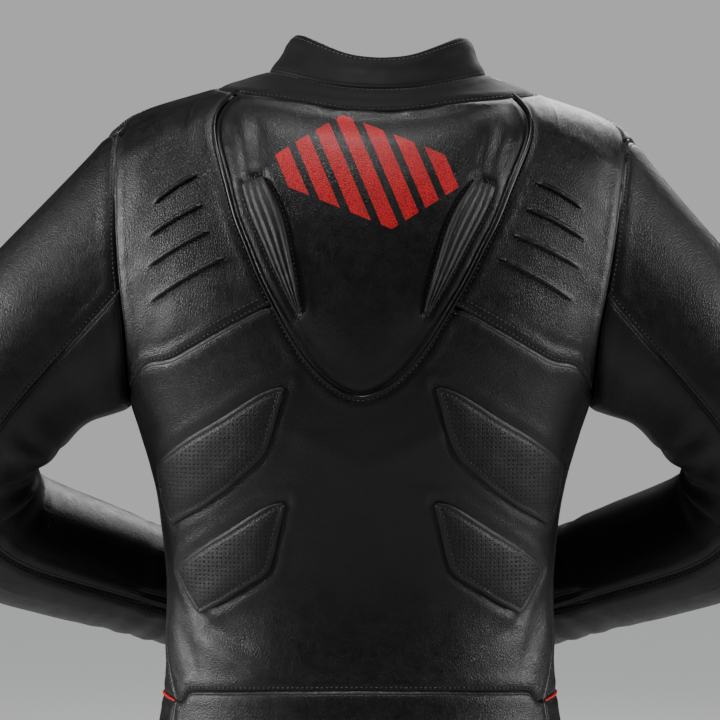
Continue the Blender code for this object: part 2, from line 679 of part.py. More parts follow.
def make_rib_insert(side, on_hump, material):
    """A leaf-shaped insert with lengthwise ribs, set on the hump."""
    across = 2 * INSERT_RIBS
    inner = side_of(INSERT_INNER, INSERT_STEPS)
    outer = side_of(INSERT_OUTER, INSERT_STEPS)
    rows = np.array([inner * (1 - i / across) + outer * (i / across) for i in range(across + 1)])
    rows = rows.transpose(1, 0, 2)

    def ribbed(s, t, row):
        crest = round(s * across) % 2 == 1
        rise = INSERT_RISE + (RIB_RISE if crest else 0.0)
        ends = min(t, 1 - t, s, 1 - s) / INSERT_EDGE_SHARE
        return PAD_LIFT + PAD_EDGE + (rise - PAD_EDGE) * min(ends, 1.0)

    panel("rib_insert_" + SIDE_WORDS[side], on_side(rows, side), material, base=on_hump,
          relief=ribbed, under=PAD_LIFT)


def make_tube(name, points, radius, material):
    """A filled cord along a list of points."""
    data = bpy.data.curves.new(name, 'CURVE')
    data.dimensions = '3D'
    data.bevel_depth = radius
    data.bevel_resolution = 1
    data.use_fill_caps = True
    spline = data.splines.new('POLY')
    spline.points.add(len(points) - 1)
    for spot, point in zip(spline.points, points):
        spot.co = (*worn(point), 1.0)
    item = bpy.data.objects.new(name, data)
    bpy.data.collections[COLLECTION].objects.link(item)
    data.materials.append(material)
    return item


def make_hump_piping(seams, material):
    """The cord in the seam round the sides and foot of the hump."""
    half = joined(seams["hump_side"], seams["hump_lower"])
    line = joined(half, mirrored(half[::-1]))
    lift = PIPING_RADIUS + PIPING_LIFT
    make_tube("hump_piping", [form_skin(w, z, lift) for w, z in line], PIPING_RADIUS, material)


def make_waist_piping(side, material):
    """The coloured cord along the waist seam at a side, just above it."""
    line = resampled(rounded(WAIST_SEAM_SIDE), STEPS["armhole_side"])
    lift = WAIST_PIPING_RADIUS + PIPING_LIFT
    points = [form_skin(w, z, lift) for w, z in on_side([line], side)[0]]
    make_tube("waist_piping_" + SIDE_WORDS[side], points, WAIST_PIPING_RADIUS, material)


# Sleeves

def arm_path(length):
    """A point on the sleeve's centre line and the direction there."""
    start, first, last = ARM_START, UPPER_ARM_DIRECTION, FOREARM_DIRECTION
    inward = (last - first * last.dot(first)).normalized()
    bend = first.angle(last)
    if length <= UPPER_ARM_LENGTH:
        return start + first * length, first
    elbow = start + first * UPPER_ARM_LENGTH
    turned = min((length - UPPER_ARM_LENGTH) / ELBOW_RADIUS, bend)
    direction = first * math.cos(turned) + inward * math.sin(turned)
    point = elbow + (inward * (1 - math.cos(turned)) + first * math.sin(turned)) * ELBOW_RADIUS
    beyond = length - UPPER_ARM_LENGTH - ELBOW_RADIUS * bend
    return point + direction * max(beyond, 0.0), direction


def sleeve_length():
    return UPPER_ARM_LENGTH + ELBOW_RADIUS * UPPER_ARM_DIRECTION.angle(FOREARM_DIRECTION) + FOREARM_LENGTH


def armhole_ring(seams):
    """The armhole's points, from the shoulder down the back and up the front."""
    line = joined(seams["armhole_back"], seams["armhole_side"], seams["armhole_front"][::-1])
    return [form_skin(w, z) for w, z in line[:-1]]


def sleeve_rings(seams):
    """Rings of points from the armhole to the cuff's end, and the axis point of each.

    The armhole slants across the arm, so the first rings turn step by step until
    they stand square to it."""
    loop = armhole_ring(seams)
    along = UPPER_ARM_DIRECTION
    depths = [(corner - ARM_START).dot(along) for corner in loop]
    spokes = [corner - ARM_START - along * depth for corner, depth in zip(loop, depths)]
    across = (Vector((0.0, 1.0, 0.0)) - along * along.y).normalized()
    upward = across.cross(along)
    angles = [math.atan2(spoke.dot(upward), spoke.dot(across)) for spoke in spokes]
    total = sleeve_length()
    first_share, first_radius, _ = SLEEVE_RINGS[0]
    rings = [loop]
    axes = [[ARM_START + along * depth for depth in depths]]
    for share in SLEEVE_HEAD_SHARES:
        ease = share * share * (3 - 2 * share)
        ring, axis = [], []
        for depth, spoke, angle in zip(depths, spokes, angles):
            centre = ARM_START + along * (depth * (1 - share) + first_share * total * share)
            round_spoke = (across * math.cos(angle) + upward * math.sin(angle)) * first_radius
            ring.append(centre + spoke.lerp(round_spoke, ease))
            axis.append(centre)
        rings.append(ring)
        axes.append(axis)
    stations = [(share * total, radius, fold) for share, radius, fold in SLEEVE_RINGS]
    wrist = SLEEVE_RINGS[-1][1]
    stations += [(total + CUFF_LENGTH * k / 2, wrist - WRIST_TAPER * k, 0.0) for k in (1, 2)]
    for length, radius, fold in stations:
        centre, direction = arm_path(length)
        across = (across - direction * across.dot(direction)).normalized()
        upward = across.cross(direction)
        ring = []
        for angle in angles:
            reach = radius + fold * math.cos(2 * angle + FOLD_TURN * length)
            ring.append(centre + (across * math.cos(angle) + upward * math.sin(angle)) * reach)
        rings.append(ring)
        axes.append([centre] * len(ring))
    return rings, axes


def strip(rings, first, last, side):
    """A lengthwise stretch of the rings, on the left or mirrored to the right."""
    count = len(rings[0])
    flip = Vector((side, 1.0, 1.0))
    return [[ring[i % count] * flip for i in range(first, last + 1)] for ring in rings]


def drawn_in_points(grid, gap):
    """The border of a grid of points moved inwards by half a seam's gap."""
    last_row, last_column = len(grid) - 1, len(grid[0]) - 1
    moved = [[point.copy() for point in row] for row in grid]
    for j in range(last_row + 1):
        for i in range(last_column + 1):
            inner = grid[min(max(j, 1), last_row - 1)][min(max(i, 1), last_column - 1)]
            step = inner - grid[j][i]
            if step.length > gap:
                moved[j][i] += step.normalized() * gap
    return moved


def make_sleeve(side, seams, leather):
    """An upper and an under piece, and the cuff."""
    rings, axes = sleeve_rings(seams)
    count = len(rings[0])
    pieces = {"sleeve_under_": (UNDER_SLEEVE_FROM, UNDER_SLEEVE_TO),
              "sleeve_upper_": (UNDER_SLEEVE_TO, UNDER_SLEEVE_FROM + count)}
    for name, (first, last) in pieces.items():
        outer = drawn_in_points(strip(rings[:-2], first, last, side), SEAM_HALF_GAP)
        centres = strip(axes[:-2], first, last, side)
        inner = [[point + (centre - point).normalized() * LEATHER for point, centre in zip(row, middle)]
                 for row, middle in zip(outer, centres)]
        wall(name + SIDE_WORDS[side], outer, inner, leather)
    make_cuff(side, rings[-3:], axes[-2][0], leather)


def make_cuff(side, rings, centre, leather):
    """A closed band at the wrist."""
    flip = Vector((side, 1.0, 1.0))
    middle = worn(centre * flip)
    gap = 2 * SEAM_HALF_GAP
    start = [point.lerp(after, gap / (after - point).length) for point, after in zip(rings[0], rings[1])]
    grid = [[point * flip for point in ring] for ring in [start] + rings[1:]]
    thickened_sheet("cuff_" + SIDE_WORDS[side], grid, leather, LEATHER,
                    outward=lambda point: point - middle, closed=True)


# The front zip

def make_zip_chain(material):
    """The closed chain between the two fronts, from the collar seam to the hem."""
    heights = np.linspace(COLLAR_SEAM_FRONT[-1][1] - 0.001, HEM_HEIGHT + 0.004, ZIP_STEPS + 1)
    grid = []
    for z in heights:
        left = around_at(ZIP_CHAIN_WIDTH / 2, z, front=True)
        grid.append([form_skin(left, z), form_skin(-left, z)])
    thickened_sheet("zip_chain", grid, material, ZIP_CHAIN_THICKNESS)


def settle(item, name, material, parent):
    """Names a new primitive and hangs it on its parent in the jacket's collection."""
    item.name = name
    item.data.materials.append(material)
    for other in list(item.users_collection):
        other.objects.unlink(item)
    bpy.data.collections[COLLECTION].objects.link(item)
    item.parent = parent
    return item


def add_box(name, size, centre, material, parent):
    bpy.ops.mesh.primitive_cube_add(size=1)
    item = bpy.context.object
    item.data.transform(Matrix.Diagonal((*size, 1.0)))
    settle(item, name, material, parent)
    item.location = centre
    return item


def union_with(target, helper):
    """Joins a helper box to a piece, and keeps the helper as a hidden cutter."""
    joint = target.modifiers.new("joined", 'BOOLEAN')
    joint.operation = 'UNION'
    joint.solver = 'EXACT'
    joint.object = helper
    helper.hide_render = True
    helper.display_type = 'WIRE'
    bpy.data.collections[COLLECTION].objects.unlink(helper)
    bpy.data.collections["cutters"].objects.link(helper)


def make_zip_seat():
    """An empty on the zip at the slider's height, its -Y square to the front."""
    place = around_at(0.0005, SLIDER_HEIGHT, front=True)
    here = form_skin(place, SLIDER_HEIGHT)
    lower = form_skin(place, SLIDER_HEIGHT - PULL_SIZE.z)
    seat = bpy.data.objects.new("zip_seat", None)
    seat.empty_display_size = 0.01
    bpy.data.collections["cutters"].objects.link(seat)
    seat.location = worn(Vector((0.0, here.y, here.z)))
    seat.rotation_euler = (math.atan2(here.y - lower.y, here.z - lower.z) * -1.0, 0.0, 0.0)
    return seat


def make_zip_slider(seat, metal):
    """The slider at the top of the zip, with two ears that hold the pull's pin."""
    middle_y = -(SLIDER_CLEARANCE + SLIDER_SIZE.y / 2)
    slider = add_box("zip_slider", SLIDER_SIZE, Vector((0.0, middle_y, 0.0)), metal, seat)
    rounding = slider.modifiers.new("edges", 'BEVEL')
    rounding.width = 0.0004
    rounding.segments = 1
    pin = Vector((0.0, middle_y - SLIDER_SIZE.y / 2 - PIN_STANDOFF, PIN_HEIGHT))
    for side in SIDE_WORDS:
        ear_x = side * (PIN_LENGTH / 2 + SLIDE_GAP + EAR_SIZE.x / 2)
        ear = add_box("ear", EAR_SIZE, Vector((ear_x, pin.y + EAR_SINK, pin.z)), metal, seat)
        union_with(slider, ear)
    return pin


def make_zip_pull(seat, pin, metal):
    """A flat tab under a short pin between the slider's ears, origin on its hinge."""
    bpy.ops.mesh.primitive_cylinder_add(vertices=12, radius=PIN_RADIUS, depth=PIN_LENGTH)
    pull = bpy.context.object
    pull.data.transform(Matrix.Rotation(math.pi / 2, 4, 'Y'))
    settle(pull, "zip_pull", metal, seat)
    pull.location = pin
    neck_size = Vector((PIN_LENGTH - 0.0008, 0.0014, NECK_LENGTH))
    union_with(pull, add_box("pull_neck", neck_size, pin - Vector((0.0, 0.0, NECK_LENGTH / 2)), metal, seat))
    tab_top = NECK_LENGTH - 0.0005
    tab_at = pin - Vector((0.0, 0.0, tab_top + PULL_SIZE.z / 2))
    union_with(pull, add_box("pull_tab", PULL_SIZE, tab_at, metal, seat))


def main():
    clear_scene()
    for name in (COLLECTION, "cutters"):
        bpy.context.scene.collection.children.link(bpy.data.collections.new(name))
    leather = make_material("cowhide", (0.012, 0.012, 0.013), 0.42)
    padded = make_material("perforated_cowhide", (0.014, 0.014, 0.015), 0.48)
    soft = make_material("soft_collar_leather", (0.016, 0.016, 0.017), 0.62)
    piping = make_material("black_piping", (0.010, 0.010, 0.010), 0.35)
    red = make_material("red_piping", (0.55, 0.01, 0.02), 0.45)
    metal = make_material("dark_zip_metal", (0.10, 0.10, 0.11), 0.35, 1.0)

    seams = cut_seams()
    tree = form_tree()
    on_back = make_back_panel(seams, tree, leather)
    on_hump = make_hump_panel(seams, tree, leather)
    make_neck_yoke(seams, tree, soft)
    make_collar(seams, soft)
    make_waistband(seams, leather)
    make_pads(on_back, tree, padded)
    make_hump_piping(seams, piping)
    for side in (1, -1):
        make_blade_panel(side, seams, tree, leather)
        make_front_panel(side, seams, tree, leather)
        make_side_panel(side, seams, tree, leather)
        make_rib_insert(side, on_hump, padded)
        make_waist_piping(side, red)
        make_sleeve(side, seams, leather)
    make_zip_chain(metal)
    seat = make_zip_seat()
    pin = make_zip_slider(seat, metal)
    make_zip_pull(seat, pin, metal)


main()
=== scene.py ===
"""Leather motorcycle jacket: the dressed pieces on its solids.

Metres, +Z up, the front faces -Y and the wearer's left is +X. Each cloth piece
is a thin shell on the form of its solid, with seams that sink in, soft creases
and grained leather. Rows of stitches follow the seams.
"""
import math

import bmesh
import bpy
from bpy.props import FloatProperty, FloatVectorProperty, PointerProperty
from mathutils import Matrix, Vector, kdtree, noise
from mathutils.bvhtree import BVHTree


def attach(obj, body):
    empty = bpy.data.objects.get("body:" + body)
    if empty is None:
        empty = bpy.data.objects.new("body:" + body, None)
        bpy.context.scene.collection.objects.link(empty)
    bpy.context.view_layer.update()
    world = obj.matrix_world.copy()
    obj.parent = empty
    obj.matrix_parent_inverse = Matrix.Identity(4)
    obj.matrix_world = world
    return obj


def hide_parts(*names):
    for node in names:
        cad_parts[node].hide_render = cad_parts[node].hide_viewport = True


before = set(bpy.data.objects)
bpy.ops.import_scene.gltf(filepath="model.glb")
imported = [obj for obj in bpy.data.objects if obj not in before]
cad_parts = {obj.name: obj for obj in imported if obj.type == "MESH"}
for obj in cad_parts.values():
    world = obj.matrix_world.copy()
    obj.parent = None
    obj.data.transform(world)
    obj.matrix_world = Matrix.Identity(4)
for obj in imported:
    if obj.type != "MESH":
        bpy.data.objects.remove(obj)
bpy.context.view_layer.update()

bl_info = {
    "name": "Leather Motorcycle Jacket",
    "version": (1, 0, 0),
    "blender": (4, 5, 0),
    "location": "3D View > Sidebar > Jacket",
    "description": "Dresses a jacket's solids with leather, stitching, pads, piping and a zip",
    "category": "Object",
}

BODY = "jacket"
SIDES = ("left", "right")

# How a solid is read: the short edges of its rims, and the pairs of triangles that were quads
MERGE_DISTANCE = 1e-5
RIM_WIDTH = 0.0027
CUFF_RIM_WIDTH = 0.0021
JOIN_ANGLE = math.radians(65)


def on_both_sides(*row):
    """A row of a table for the left side and then for the right one, named where it has a *."""
    def named(cell, side):
        if isinstance(cell, tuple):
            return tuple(named(part, side) for part in cell)
        return cell.replace("*", side) if isinstance(cell, str) else cell
    return tuple(named(row, side) for side in SIDES)


# The cloth pieces.
# Columns: solid, finish, subdivisions, width, length and area of the cut, how it is held
TORSO_CUTS = (
    ("back_panel", "cowhide", 3, 0.50, 0.38, 0.145, "stretched"),
    ("hump_panel", "printed_cowhide", 3, 0.31, 0.30, 0.060, "stretched"),
    *on_both_sides("blade_panel_*", "cowhide", 3, 0.20, 0.31, 0.036, "stretched"),
    *on_both_sides("front_panel_*", "cowhide", 2, 0.30, 0.60, 0.130, "hung"),
    *on_both_sides("side_panel_*", "cowhide", 3, 0.12, 0.29, 0.020, "hung"),
)
NECK_CUTS = (
    ("neck_yoke", "matte_leather", 3, 0.32, 0.060, 0.0133, "stretched"),
    ("collar", "matte_leather", 3, 0.56, 0.042, 0.0200, "stretched"),
)
WAIST_CUTS = (
    ("waistband_back", "cowhide", 3, 0.41, 0.072, 0.0262, "hung"),
    *on_both_sides("waistband_side_*", "cowhide", 4, 0.13, 0.060, 0.0074, "hung"),
    *on_both_sides("waistband_front_*", "cowhide", 3, 0.19, 0.058, 0.0105, "hung"),
)
SLEEVE_CUTS = (
    ("sleeve_upper_left", "cowhide", 3, 0.36, 0.66, 0.183, "hung"),
    ("sleeve_upper_right", "cowhide", 3, 0.36, 0.66, 0.180, "hung"),
    *on_both_sides("sleeve_under_*", "cowhide", 3, 0.20, 0.50, 0.076, "hung"),
    *on_both_sides("cuff_*", "cowhide", 3, 0.31, 0.047, 0.0130, "hung"),
)

# Creases of the back and of the front.
# Columns: x, height, half length, half width, tilt in degrees from +X towards +Z, rise
BACK_CREASES = (
    (0.1010, -0.058, 0.034, 0.0065, 80, 0.0022),
    (0.0900, -0.062, 0.034, 0.0060, 78, -0.0016),
    (-0.1240, -0.064, 0.032, 0.0065, 98, 0.0020),
    (-0.1130, -0.070, 0.030, 0.0060, 100, -0.0014),
    (0.1430, -0.462, 0.034, 0.0080, 52, 0.0026),
    (0.1250, -0.492, 0.046, 0.0090, 38, -0.0024),
    (0.1060, -0.520, 0.052, 0.0100, 30, 0.0026),
    (0.1540, -0.512, 0.030, 0.0070, 70, -0.0018),
    (-0.1430, -0.470, 0.034, 0.0080, 128, 0.0024),
    (-0.1230, -0.500, 0.046, 0.0090, 140, -0.0024),
    (-0.1000, -0.522, 0.052, 0.0100, 150, 0.0022),
    (-0.1560, -0.505, 0.030, 0.0070, 108, -0.0018),
    (0.0500, -0.316, 0.050, 0.0100, 24, 0.0010),
    (-0.0520, -0.320, 0.050, 0.0100, 156, 0.0010),
    (0.1900, -0.052, 0.040, 0.0080, 150, 0.0016),
    (-0.2050, -0.056, 0.040, 0.0080, 30, 0.0016),
    (0.1750, -0.236, 0.034, 0.0070, 160, -0.0016),
    (-0.1850, -0.238, 0.034, 0.0070, 20, -0.0016),
)
FRONT_CREASES = (
    (0.1850, -0.190, 0.060, 0.0100, 58, -0.0030),
    (0.1600, -0.215, 0.070, 0.0110, 50, 0.0028),
    (0.1250, -0.250, 0.060, 0.0120, 44, -0.0022),
    (-0.1900, -0.200, 0.060, 0.0100, 122, -0.0030),
    (-0.1650, -0.225, 0.070, 0.0110, 130, 0.0028),
    (-0.1300, -0.262, 0.060, 0.0120, 136, -0.0022),
    (0.1200, -0.470, 0.060, 0.0110, 150, -0.0024),
    (0.1000, -0.505, 0.065, 0.0120, 158, 0.0024),
    (-0.1150, -0.480, 0.060, 0.0110, 30, -0.0024),
    (-0.0950, -0.512, 0.065, 0.0120, 22, 0.0024),
    (0.0600, -0.400, 0.080, 0.0140, 96, 0.0014),
    (-0.0650, -0.390, 0.080, 0.0140, 84, 0.0014),
)
# How far a crease wanders, how often in a metre, and where its noise for the height is taken
CREASE_WANDER = 0.0045
CREASE_WAVES = 22.0
CREASE_SHIFT = Vector((9.3, -1.5, -8.0))

# The four corded ridges on each shoulder blade.
# Columns: the end by the hump and the end by the sleeve, each as x and height
RIDGES = {
    "blade_panel_left": (
        (0.1415, -0.0811, 0.1868, -0.1102), (0.1366, -0.1083, 0.1909, -0.1396),
        (0.1294, -0.1315, 0.1918, -0.1664), (0.1164, -0.1554, 0.1900, -0.1976),
    ),
    "blade_panel_right": (
        (-0.1544, -0.0891, -0.2010, -0.1144), (-0.1438, -0.1122, -0.2035, -0.1422),
        (-0.1320, -0.1359, -0.1989, -0.1673), (-0.1187, -0.1563, -0.1927, -0.1967),
    ),
}
RIDGE_BOW = 0.0026
RIDGE_POINTS = 25
RIDGE_SIDES = 12
RIDGE_RADIUS = 0.0018
# A ridge falls off gently above and steeply below, down to its row of stitches
RIDGE_UPPER_SLOPE = 2.0
RIDGE_LOWER_SLOPE = 0.45
RIDGE_SEWING = 0.0021
# How far round the ridges the solid's own ones are let down, in how many rounds, and what may be
# left of them; then how far from a ridge its leather starts to rise
RIDGE_EVENED = 0.022
RIDGE_ROUNDS = 10
RIDGE_LEFT_OVER = 0.0002
RIDGE_FOOT = 0.016

# What is sewn onto a panel
LET_IN = {
    "back_panel": ("pad_upper_left", "pad_upper_right", "pad_lower_left", "pad_lower_right"),
    "hump_panel": ("rib_insert_left", "rib_insert_right"),
}

# The middle of the left sleeve, from the shoulder to the cuff; the right one is its mirror
ARM_LINE = tuple(Vector(point) for point in (
    (0.2517, 0.0100, -0.1720), (0.2851, 0.0085, -0.2107), (0.3181, 0.0070, -0.2495),
    (0.3495, 0.0056, -0.2869), (0.3717, -0.0042, -0.3329), (0.3684, -0.0261, -0.3770),
    (0.3420, -0.0539, -0.4081), (0.3032, -0.0809, -0.4243), (0.2641, -0.1079, -0.4398),
    (0.2249, -0.1348, -0.4553), (0.1554, -0.1827, -0.4829), (0.1201, -0.2070, -0.4968),
))
INSIDE_OF_ELBOW = Vector((0.300, -0.030, -0.340))
# The folds across a sleeve: where they lie along that line, and from fold to fold
ELBOW_AT = 0.205
ELBOW_FOLD = 0.038
WRIST_AT = 0.475
WRIST_FOLD = 0.030

# The leather beside a seam: how wide it sinks in, and the height, place and width of the swell
SEAM_WIDTH = 0.0026
SWELL_HEIGHT = 0.00055
SWELL_PLACE = 0.0090
SWELL_WIDTH = 0.0042

# The roll along the hump's upper edge: its height, its place from the seam and its width
ROLL_HEIGHT = 0.0034
ROLL_PLACE = 0.0095
ROLL_WIDTH = 0.0060

# The stitched channel inside a pad's edge, from the edge
PAD_CHANNEL = 0.0056

# Rows of stitches: the piece that is sewn, what it meets, and each row's distance from the seam.
# A row that meets nothing follows an open edge, and a distance below zero lies outside the piece.
TORSO_ROWS = (
    ("neck_yoke", ("collar",), (0.0026,)),
    ("neck_yoke", ("hump_panel",), (0.0024,)),
    *on_both_sides("blade_panel_*", ("hump_panel",), (0.0034,)),
    *on_both_sides("blade_panel_*", ("back_panel",), (0.0026, 0.0085)),
    *on_both_sides("blade_panel_*", ("neck_yoke", "front_panel_*"), (0.0026,)),
    ("back_panel", ("hump_panel",), (0.0032,)),
    ("back_panel", ("waistband_back",), (0.0030,)),
    ("back_panel", ("side_panel_left", "side_panel_right"), (0.0026,)),
    *on_both_sides("side_panel_*", ("back_panel", "front_panel_*"), (0.0026,)),
    *on_both_sides("front_panel_*", ("blade_panel_*",), (0.0026,)),
    *on_both_sides("front_panel_*", ("zip_chain",), (0.0060,)),
    *on_both_sides("front_panel_*", ("waistband_front_*",), (0.0030,)),
    ("waistband_back", (), (0.0040,)),
    *on_both_sides("waistband_side_*", (), (0.0040,)),
    *on_both_sides("waistband_front_*", (), (0.0040,)),
    ("collar", (), (0.0036,)),
)
TRIM_ROWS = (
    *on_both_sides("pad_upper_*", (), (PAD_CHANNEL,)),
    *on_both_sides("pad_lower_*", (), (PAD_CHANNEL,)),
    *on_both_sides("rib_insert_*", (), (-0.0028,)),
)
SLEEVE_ROWS = (
    *on_both_sides("sleeve_upper_*", ("sleeve_under_*",), (0.0026,)),
    *on_both_sides("sleeve_upper_*", ("blade_panel_*", "front_panel_*"), (0.0028,)),
    *on_both_sides("cuff_*", ("sleeve_upper_*", "sleeve_under_*"), (0.0030,)),
    *on_both_sides("cuff_*", (), (0.0040,)),
)
MEETING_DISTANCE = 0.0065
WAIST_CORD_SINK = 0.0020

# Finishes whose inner side shows the lining
LINED = ("cowhide", "printed_cowhide", "matte_leather")

# The channel that a row of stitches pulls in, in the material, where the leather is bumped in and darkened as
# painted shade: its distance from the seam, half its width and half that of its floor
STITCH_CHANNEL = 0.0027
CHANNEL_HALF_WIDTH = 0.0012
CHANNEL_HALF_FLOOR = 0.0003

PERFORATION_PITCH = 0.0040

# The print on the hump: x and height of its middle, half its width and height, how fast its bars
# shorten outwards, from bar to bar, how they slant, and the softness of their edges
PRINT_MIDDLE = (-0.006, -0.080)
PRINT_HALF_WIDTH = 0.078
PRINT_HALF_HEIGHT = 0.052
PRINT_NARROWING = 0.50
PRINT_PITCH = 0.0225
PRINT_SLANT = 0.42
PRINT_EDGE = 0.0002

# The zip: from tooth to tooth, a tooth's width, height and length, and how its tape turns in
TOOTH_STEP = 0.0028
TOOTH = (0.0042, 0.0026, 0.0017)
TOOTH_BEVEL = 0.0003
TOOTH_OFFSET = 0.0010
TOOTH_LIFT = 0.0009
TAPE_THICKNESS = 0.0009
TAPE_REACH = 0.0060
TAPE_DROP = 0.0022

# Columns: light, place, what it looks at, size, power
LIGHTS = (
    ("top_light", (0.20, 0.75, 1.75), (0.0, 0.08, -0.08), 0.7, 26.0),
    ("left_light", (1.85, 0.32, 0.10), (0.1, 0.06, -0.35), 0.9, 42.0),
    ("right_light", (-1.85, 0.32, 0.10), (-0.1, 0.06, -0.35), 0.9, 27.0),
    ("front_light", (-0.8, -2.2, 1.3), (0.0, -0.1, -0.3), 1.2, 40.0),
)
CEILING_POWER = 0.07
ROOM_LIGHT = 0.02
FLOOR_SIZE = 9.0
FLOOR_HEIGHT = -0.95
CAMERA_HEIGHT = -0.24665

# What the steps leave for one another: each piece's borders and surface, the lines of the ridges,
# and the materials
borders = {}
surfaces = {}
ridges = {}
finishes = {}


class JacketLeatherSettings(bpy.types.PropertyGroup):
    """Sizes and colours of the leather."""
    wall: FloatProperty(name="Leather thickness", description="Thickness of each leather piece",
                        default=0.0015, min=0.0005, max=0.004, precision=4, unit='LENGTH')
    seam_depth: FloatProperty(name="Seam depth", description="How far the leather sinks in at a seam",
                              default=0.0013, min=0.0, max=0.004, precision=4, unit='LENGTH')
    looseness: FloatProperty(name="Looseness", description="Height of the soft unevenness of the leather",
                             default=0.0009, min=0.0, max=0.004, precision=4, unit='LENGTH')
    grain: FloatProperty(name="Grain size", description="Width of one pebble of the leather's grain",
                         default=0.0021, min=0.0004, max=0.005, precision=4, unit='LENGTH')
    leather_colour: FloatVectorProperty(name="Leather colour", description="Colour of the cowhide",
                                        default=(0.0052, 0.0052, 0.0055), size=3, min=0.0, max=1.0,
                                        subtype='COLOR')
    collar_colour: FloatVectorProperty(name="Collar colour", description="Colour of the collar and the yoke",
                                       default=(0.0052, 0.0052, 0.0055), size=3, min=0.0, max=1.0,
                                       subtype='COLOR')
    accent_colour: FloatVectorProperty(name="Accent colour", description="Colour of the print and side cords",
                                       default=(0.78, 0.004, 0.012), size=3, min=0.0, max=1.0,
                                       subtype='COLOR')


class JacketSewingSettings(bpy.types.PropertyGroup):
    """Sizes of the stitches."""
    stitch: FloatProperty(name="Stitch length", description="Length of a stitch that shows",
                          default=0.0030, min=0.001, max=0.01, precision=4, unit='LENGTH')
    space: FloatProperty(name="Space", description="Space between two stitches",
                         default=0.0014, min=0.0002, max=0.01, precision=4, unit='LENGTH')
    thread: FloatProperty(name="Thread width", description="Width of the thread",
                          default=0.0010, min=0.0002, max=0.003, precision=4, unit='LENGTH')


class JacketStageSettings(bpy.types.PropertyGroup):
    """The floor, the lights and the camera."""
    distance: FloatProperty(name="Camera distance", description="From the camera to the jacket's middle",
                            default=2.95, min=1.0, max=8.0, unit='LENGTH')
    lens: FloatProperty(name="Lens", description="Focal length in millimetres",
                        default=159.0, min=35.0, max=300.0)
    light: FloatProperty(name="Light", description="Strength of all lights",
                         default=1.0, min=0.0, max=5.0)


# Materials

def feed(tree, node, values):
    """Gives a node's sockets what they take: a number, a colour or another node's output."""
    for key, value in values.items():
        if isinstance(value, bpy.types.NodeSocket):
            tree.links.new(value, node.inputs[key])
        else:
            node.inputs[key].default_value = value


def add(tree, kind, values, **settings):
    """A new node with its settings and what its sockets take."""
    node = tree.nodes.new(kind)
    for key, value in settings.items():
        setattr(node, key, value)
    feed(tree, node, values)
    return node


def ranged(tree, source, low, high, to_low=0.0, to_high=1.0):
    """A value moved from one range to another, held at its ends."""
    limits = {"From Min": low, "From Max": high, "To Min": to_low, "To Max": to_high}
    return add(tree, "ShaderNodeMapRange", {"Value": source, **limits}, clamp=True).outputs["Result"]


def reckoned(tree, operation, *terms):
    """The result of one sum, where each term is a number or a socket."""
    return add(tree, "ShaderNodeMath", dict(enumerate(terms)), operation=operation).outputs["Value"]


def times(tree, first, second):
    """One value times another."""
    return reckoned(tree, 'MULTIPLY', first, second)


def less(tree, first, second):
    """One value less another."""
    return reckoned(tree, 'SUBTRACT', first, second)


def blended(tree, share, first, second):
    """A colour between two others."""
    node = add(tree, "ShaderNodeMix", {"Factor": share, "A": first, "B": second}, data_type='RGBA')
    return node.outputs["Result"]


def shade(colour, share):
    """A colour made lighter or darker, with full cover."""
    return tuple(min(channel * share, 1.0) for channel in colour) + (1.0,)


def new_finish(name):
    """A new material: its nodes, its shader and the place on the piece."""
    material = bpy.data.materials.new(name)
    material.use_nodes = True
    tree = material.node_tree
    shader = tree.nodes["Principled BSDF"]
    place = add(tree, "ShaderNodeTexCoord", {}).outputs["Object"]
    finishes[name] = material
    return tree, shader, place


def seam_distance(tree):
    """How far a place is from the nearest seam, as its piece notes it."""
    return add(tree, "ShaderNodeAttribute", {}, attribute_name="seam_distance").outputs["Fac"]


def noise_of(tree, place, scale, detail=2.0, roughness=0.5, distortion=0.0):
    """Soft random patches."""
    values = {"Vector": place, "Scale": scale, "Detail": detail, "Roughness": roughness,
              "Distortion": distortion}
    return add(tree, "ShaderNodeTexNoise", values).outputs["Fac"]


def pebbles(tree, place, size):
    """The grain of cowhide: uneven pebbles with fine creases between them."""
    drift = add(tree, "ShaderNodeTexNoise", {"Vector": place, "Scale": 0.35 / size, "Detail": 2.0})
    shift = add(tree, "ShaderNodeVectorMath", {0: drift.outputs["Color"], 1: (size * 0.45,) * 3},
                operation='MULTIPLY')
    moved = add(tree, "ShaderNodeVectorMath", {0: place, 1: shift.outputs["Vector"]}, operation='ADD')
    cells = add(tree, "ShaderNodeTexVoronoi", {"Vector": moved.outputs["Vector"], "Scale": 1 / size},
                feature='DISTANCE_TO_EDGE')
    crease = ranged(tree, cells.outputs["Distance"], 0.0, 0.30)
    fine = noise_of(tree, place, 2.2 / size, 2.0)
    return reckoned(tree, 'ADD', times(tree, crease, 0.85), times(tree, fine, 0.18))


def bumped(tree, height, strength, distance, under=None):
    """A rough surface, on top of a coarser one where that is given."""
    values = {"Height": height, "Strength": strength, "Distance": distance}
    if under is not None:
        values["Normal"] = under
    return add(tree, "ShaderNodeBump", values).outputs["Normal"]


def stitch_channel_and_painted_shade(tree, beside):
    """The narrow channel that a row of stitches pulls in beside a seam, whose mask also darkens it as painted
    shade.
    """
    off = reckoned(tree, 'ABSOLUTE', less(tree, beside, STITCH_CHANNEL))
    return ranged(tree, off, CHANNEL_HALF_WIDTH, CHANNEL_HALF_FLOOR)


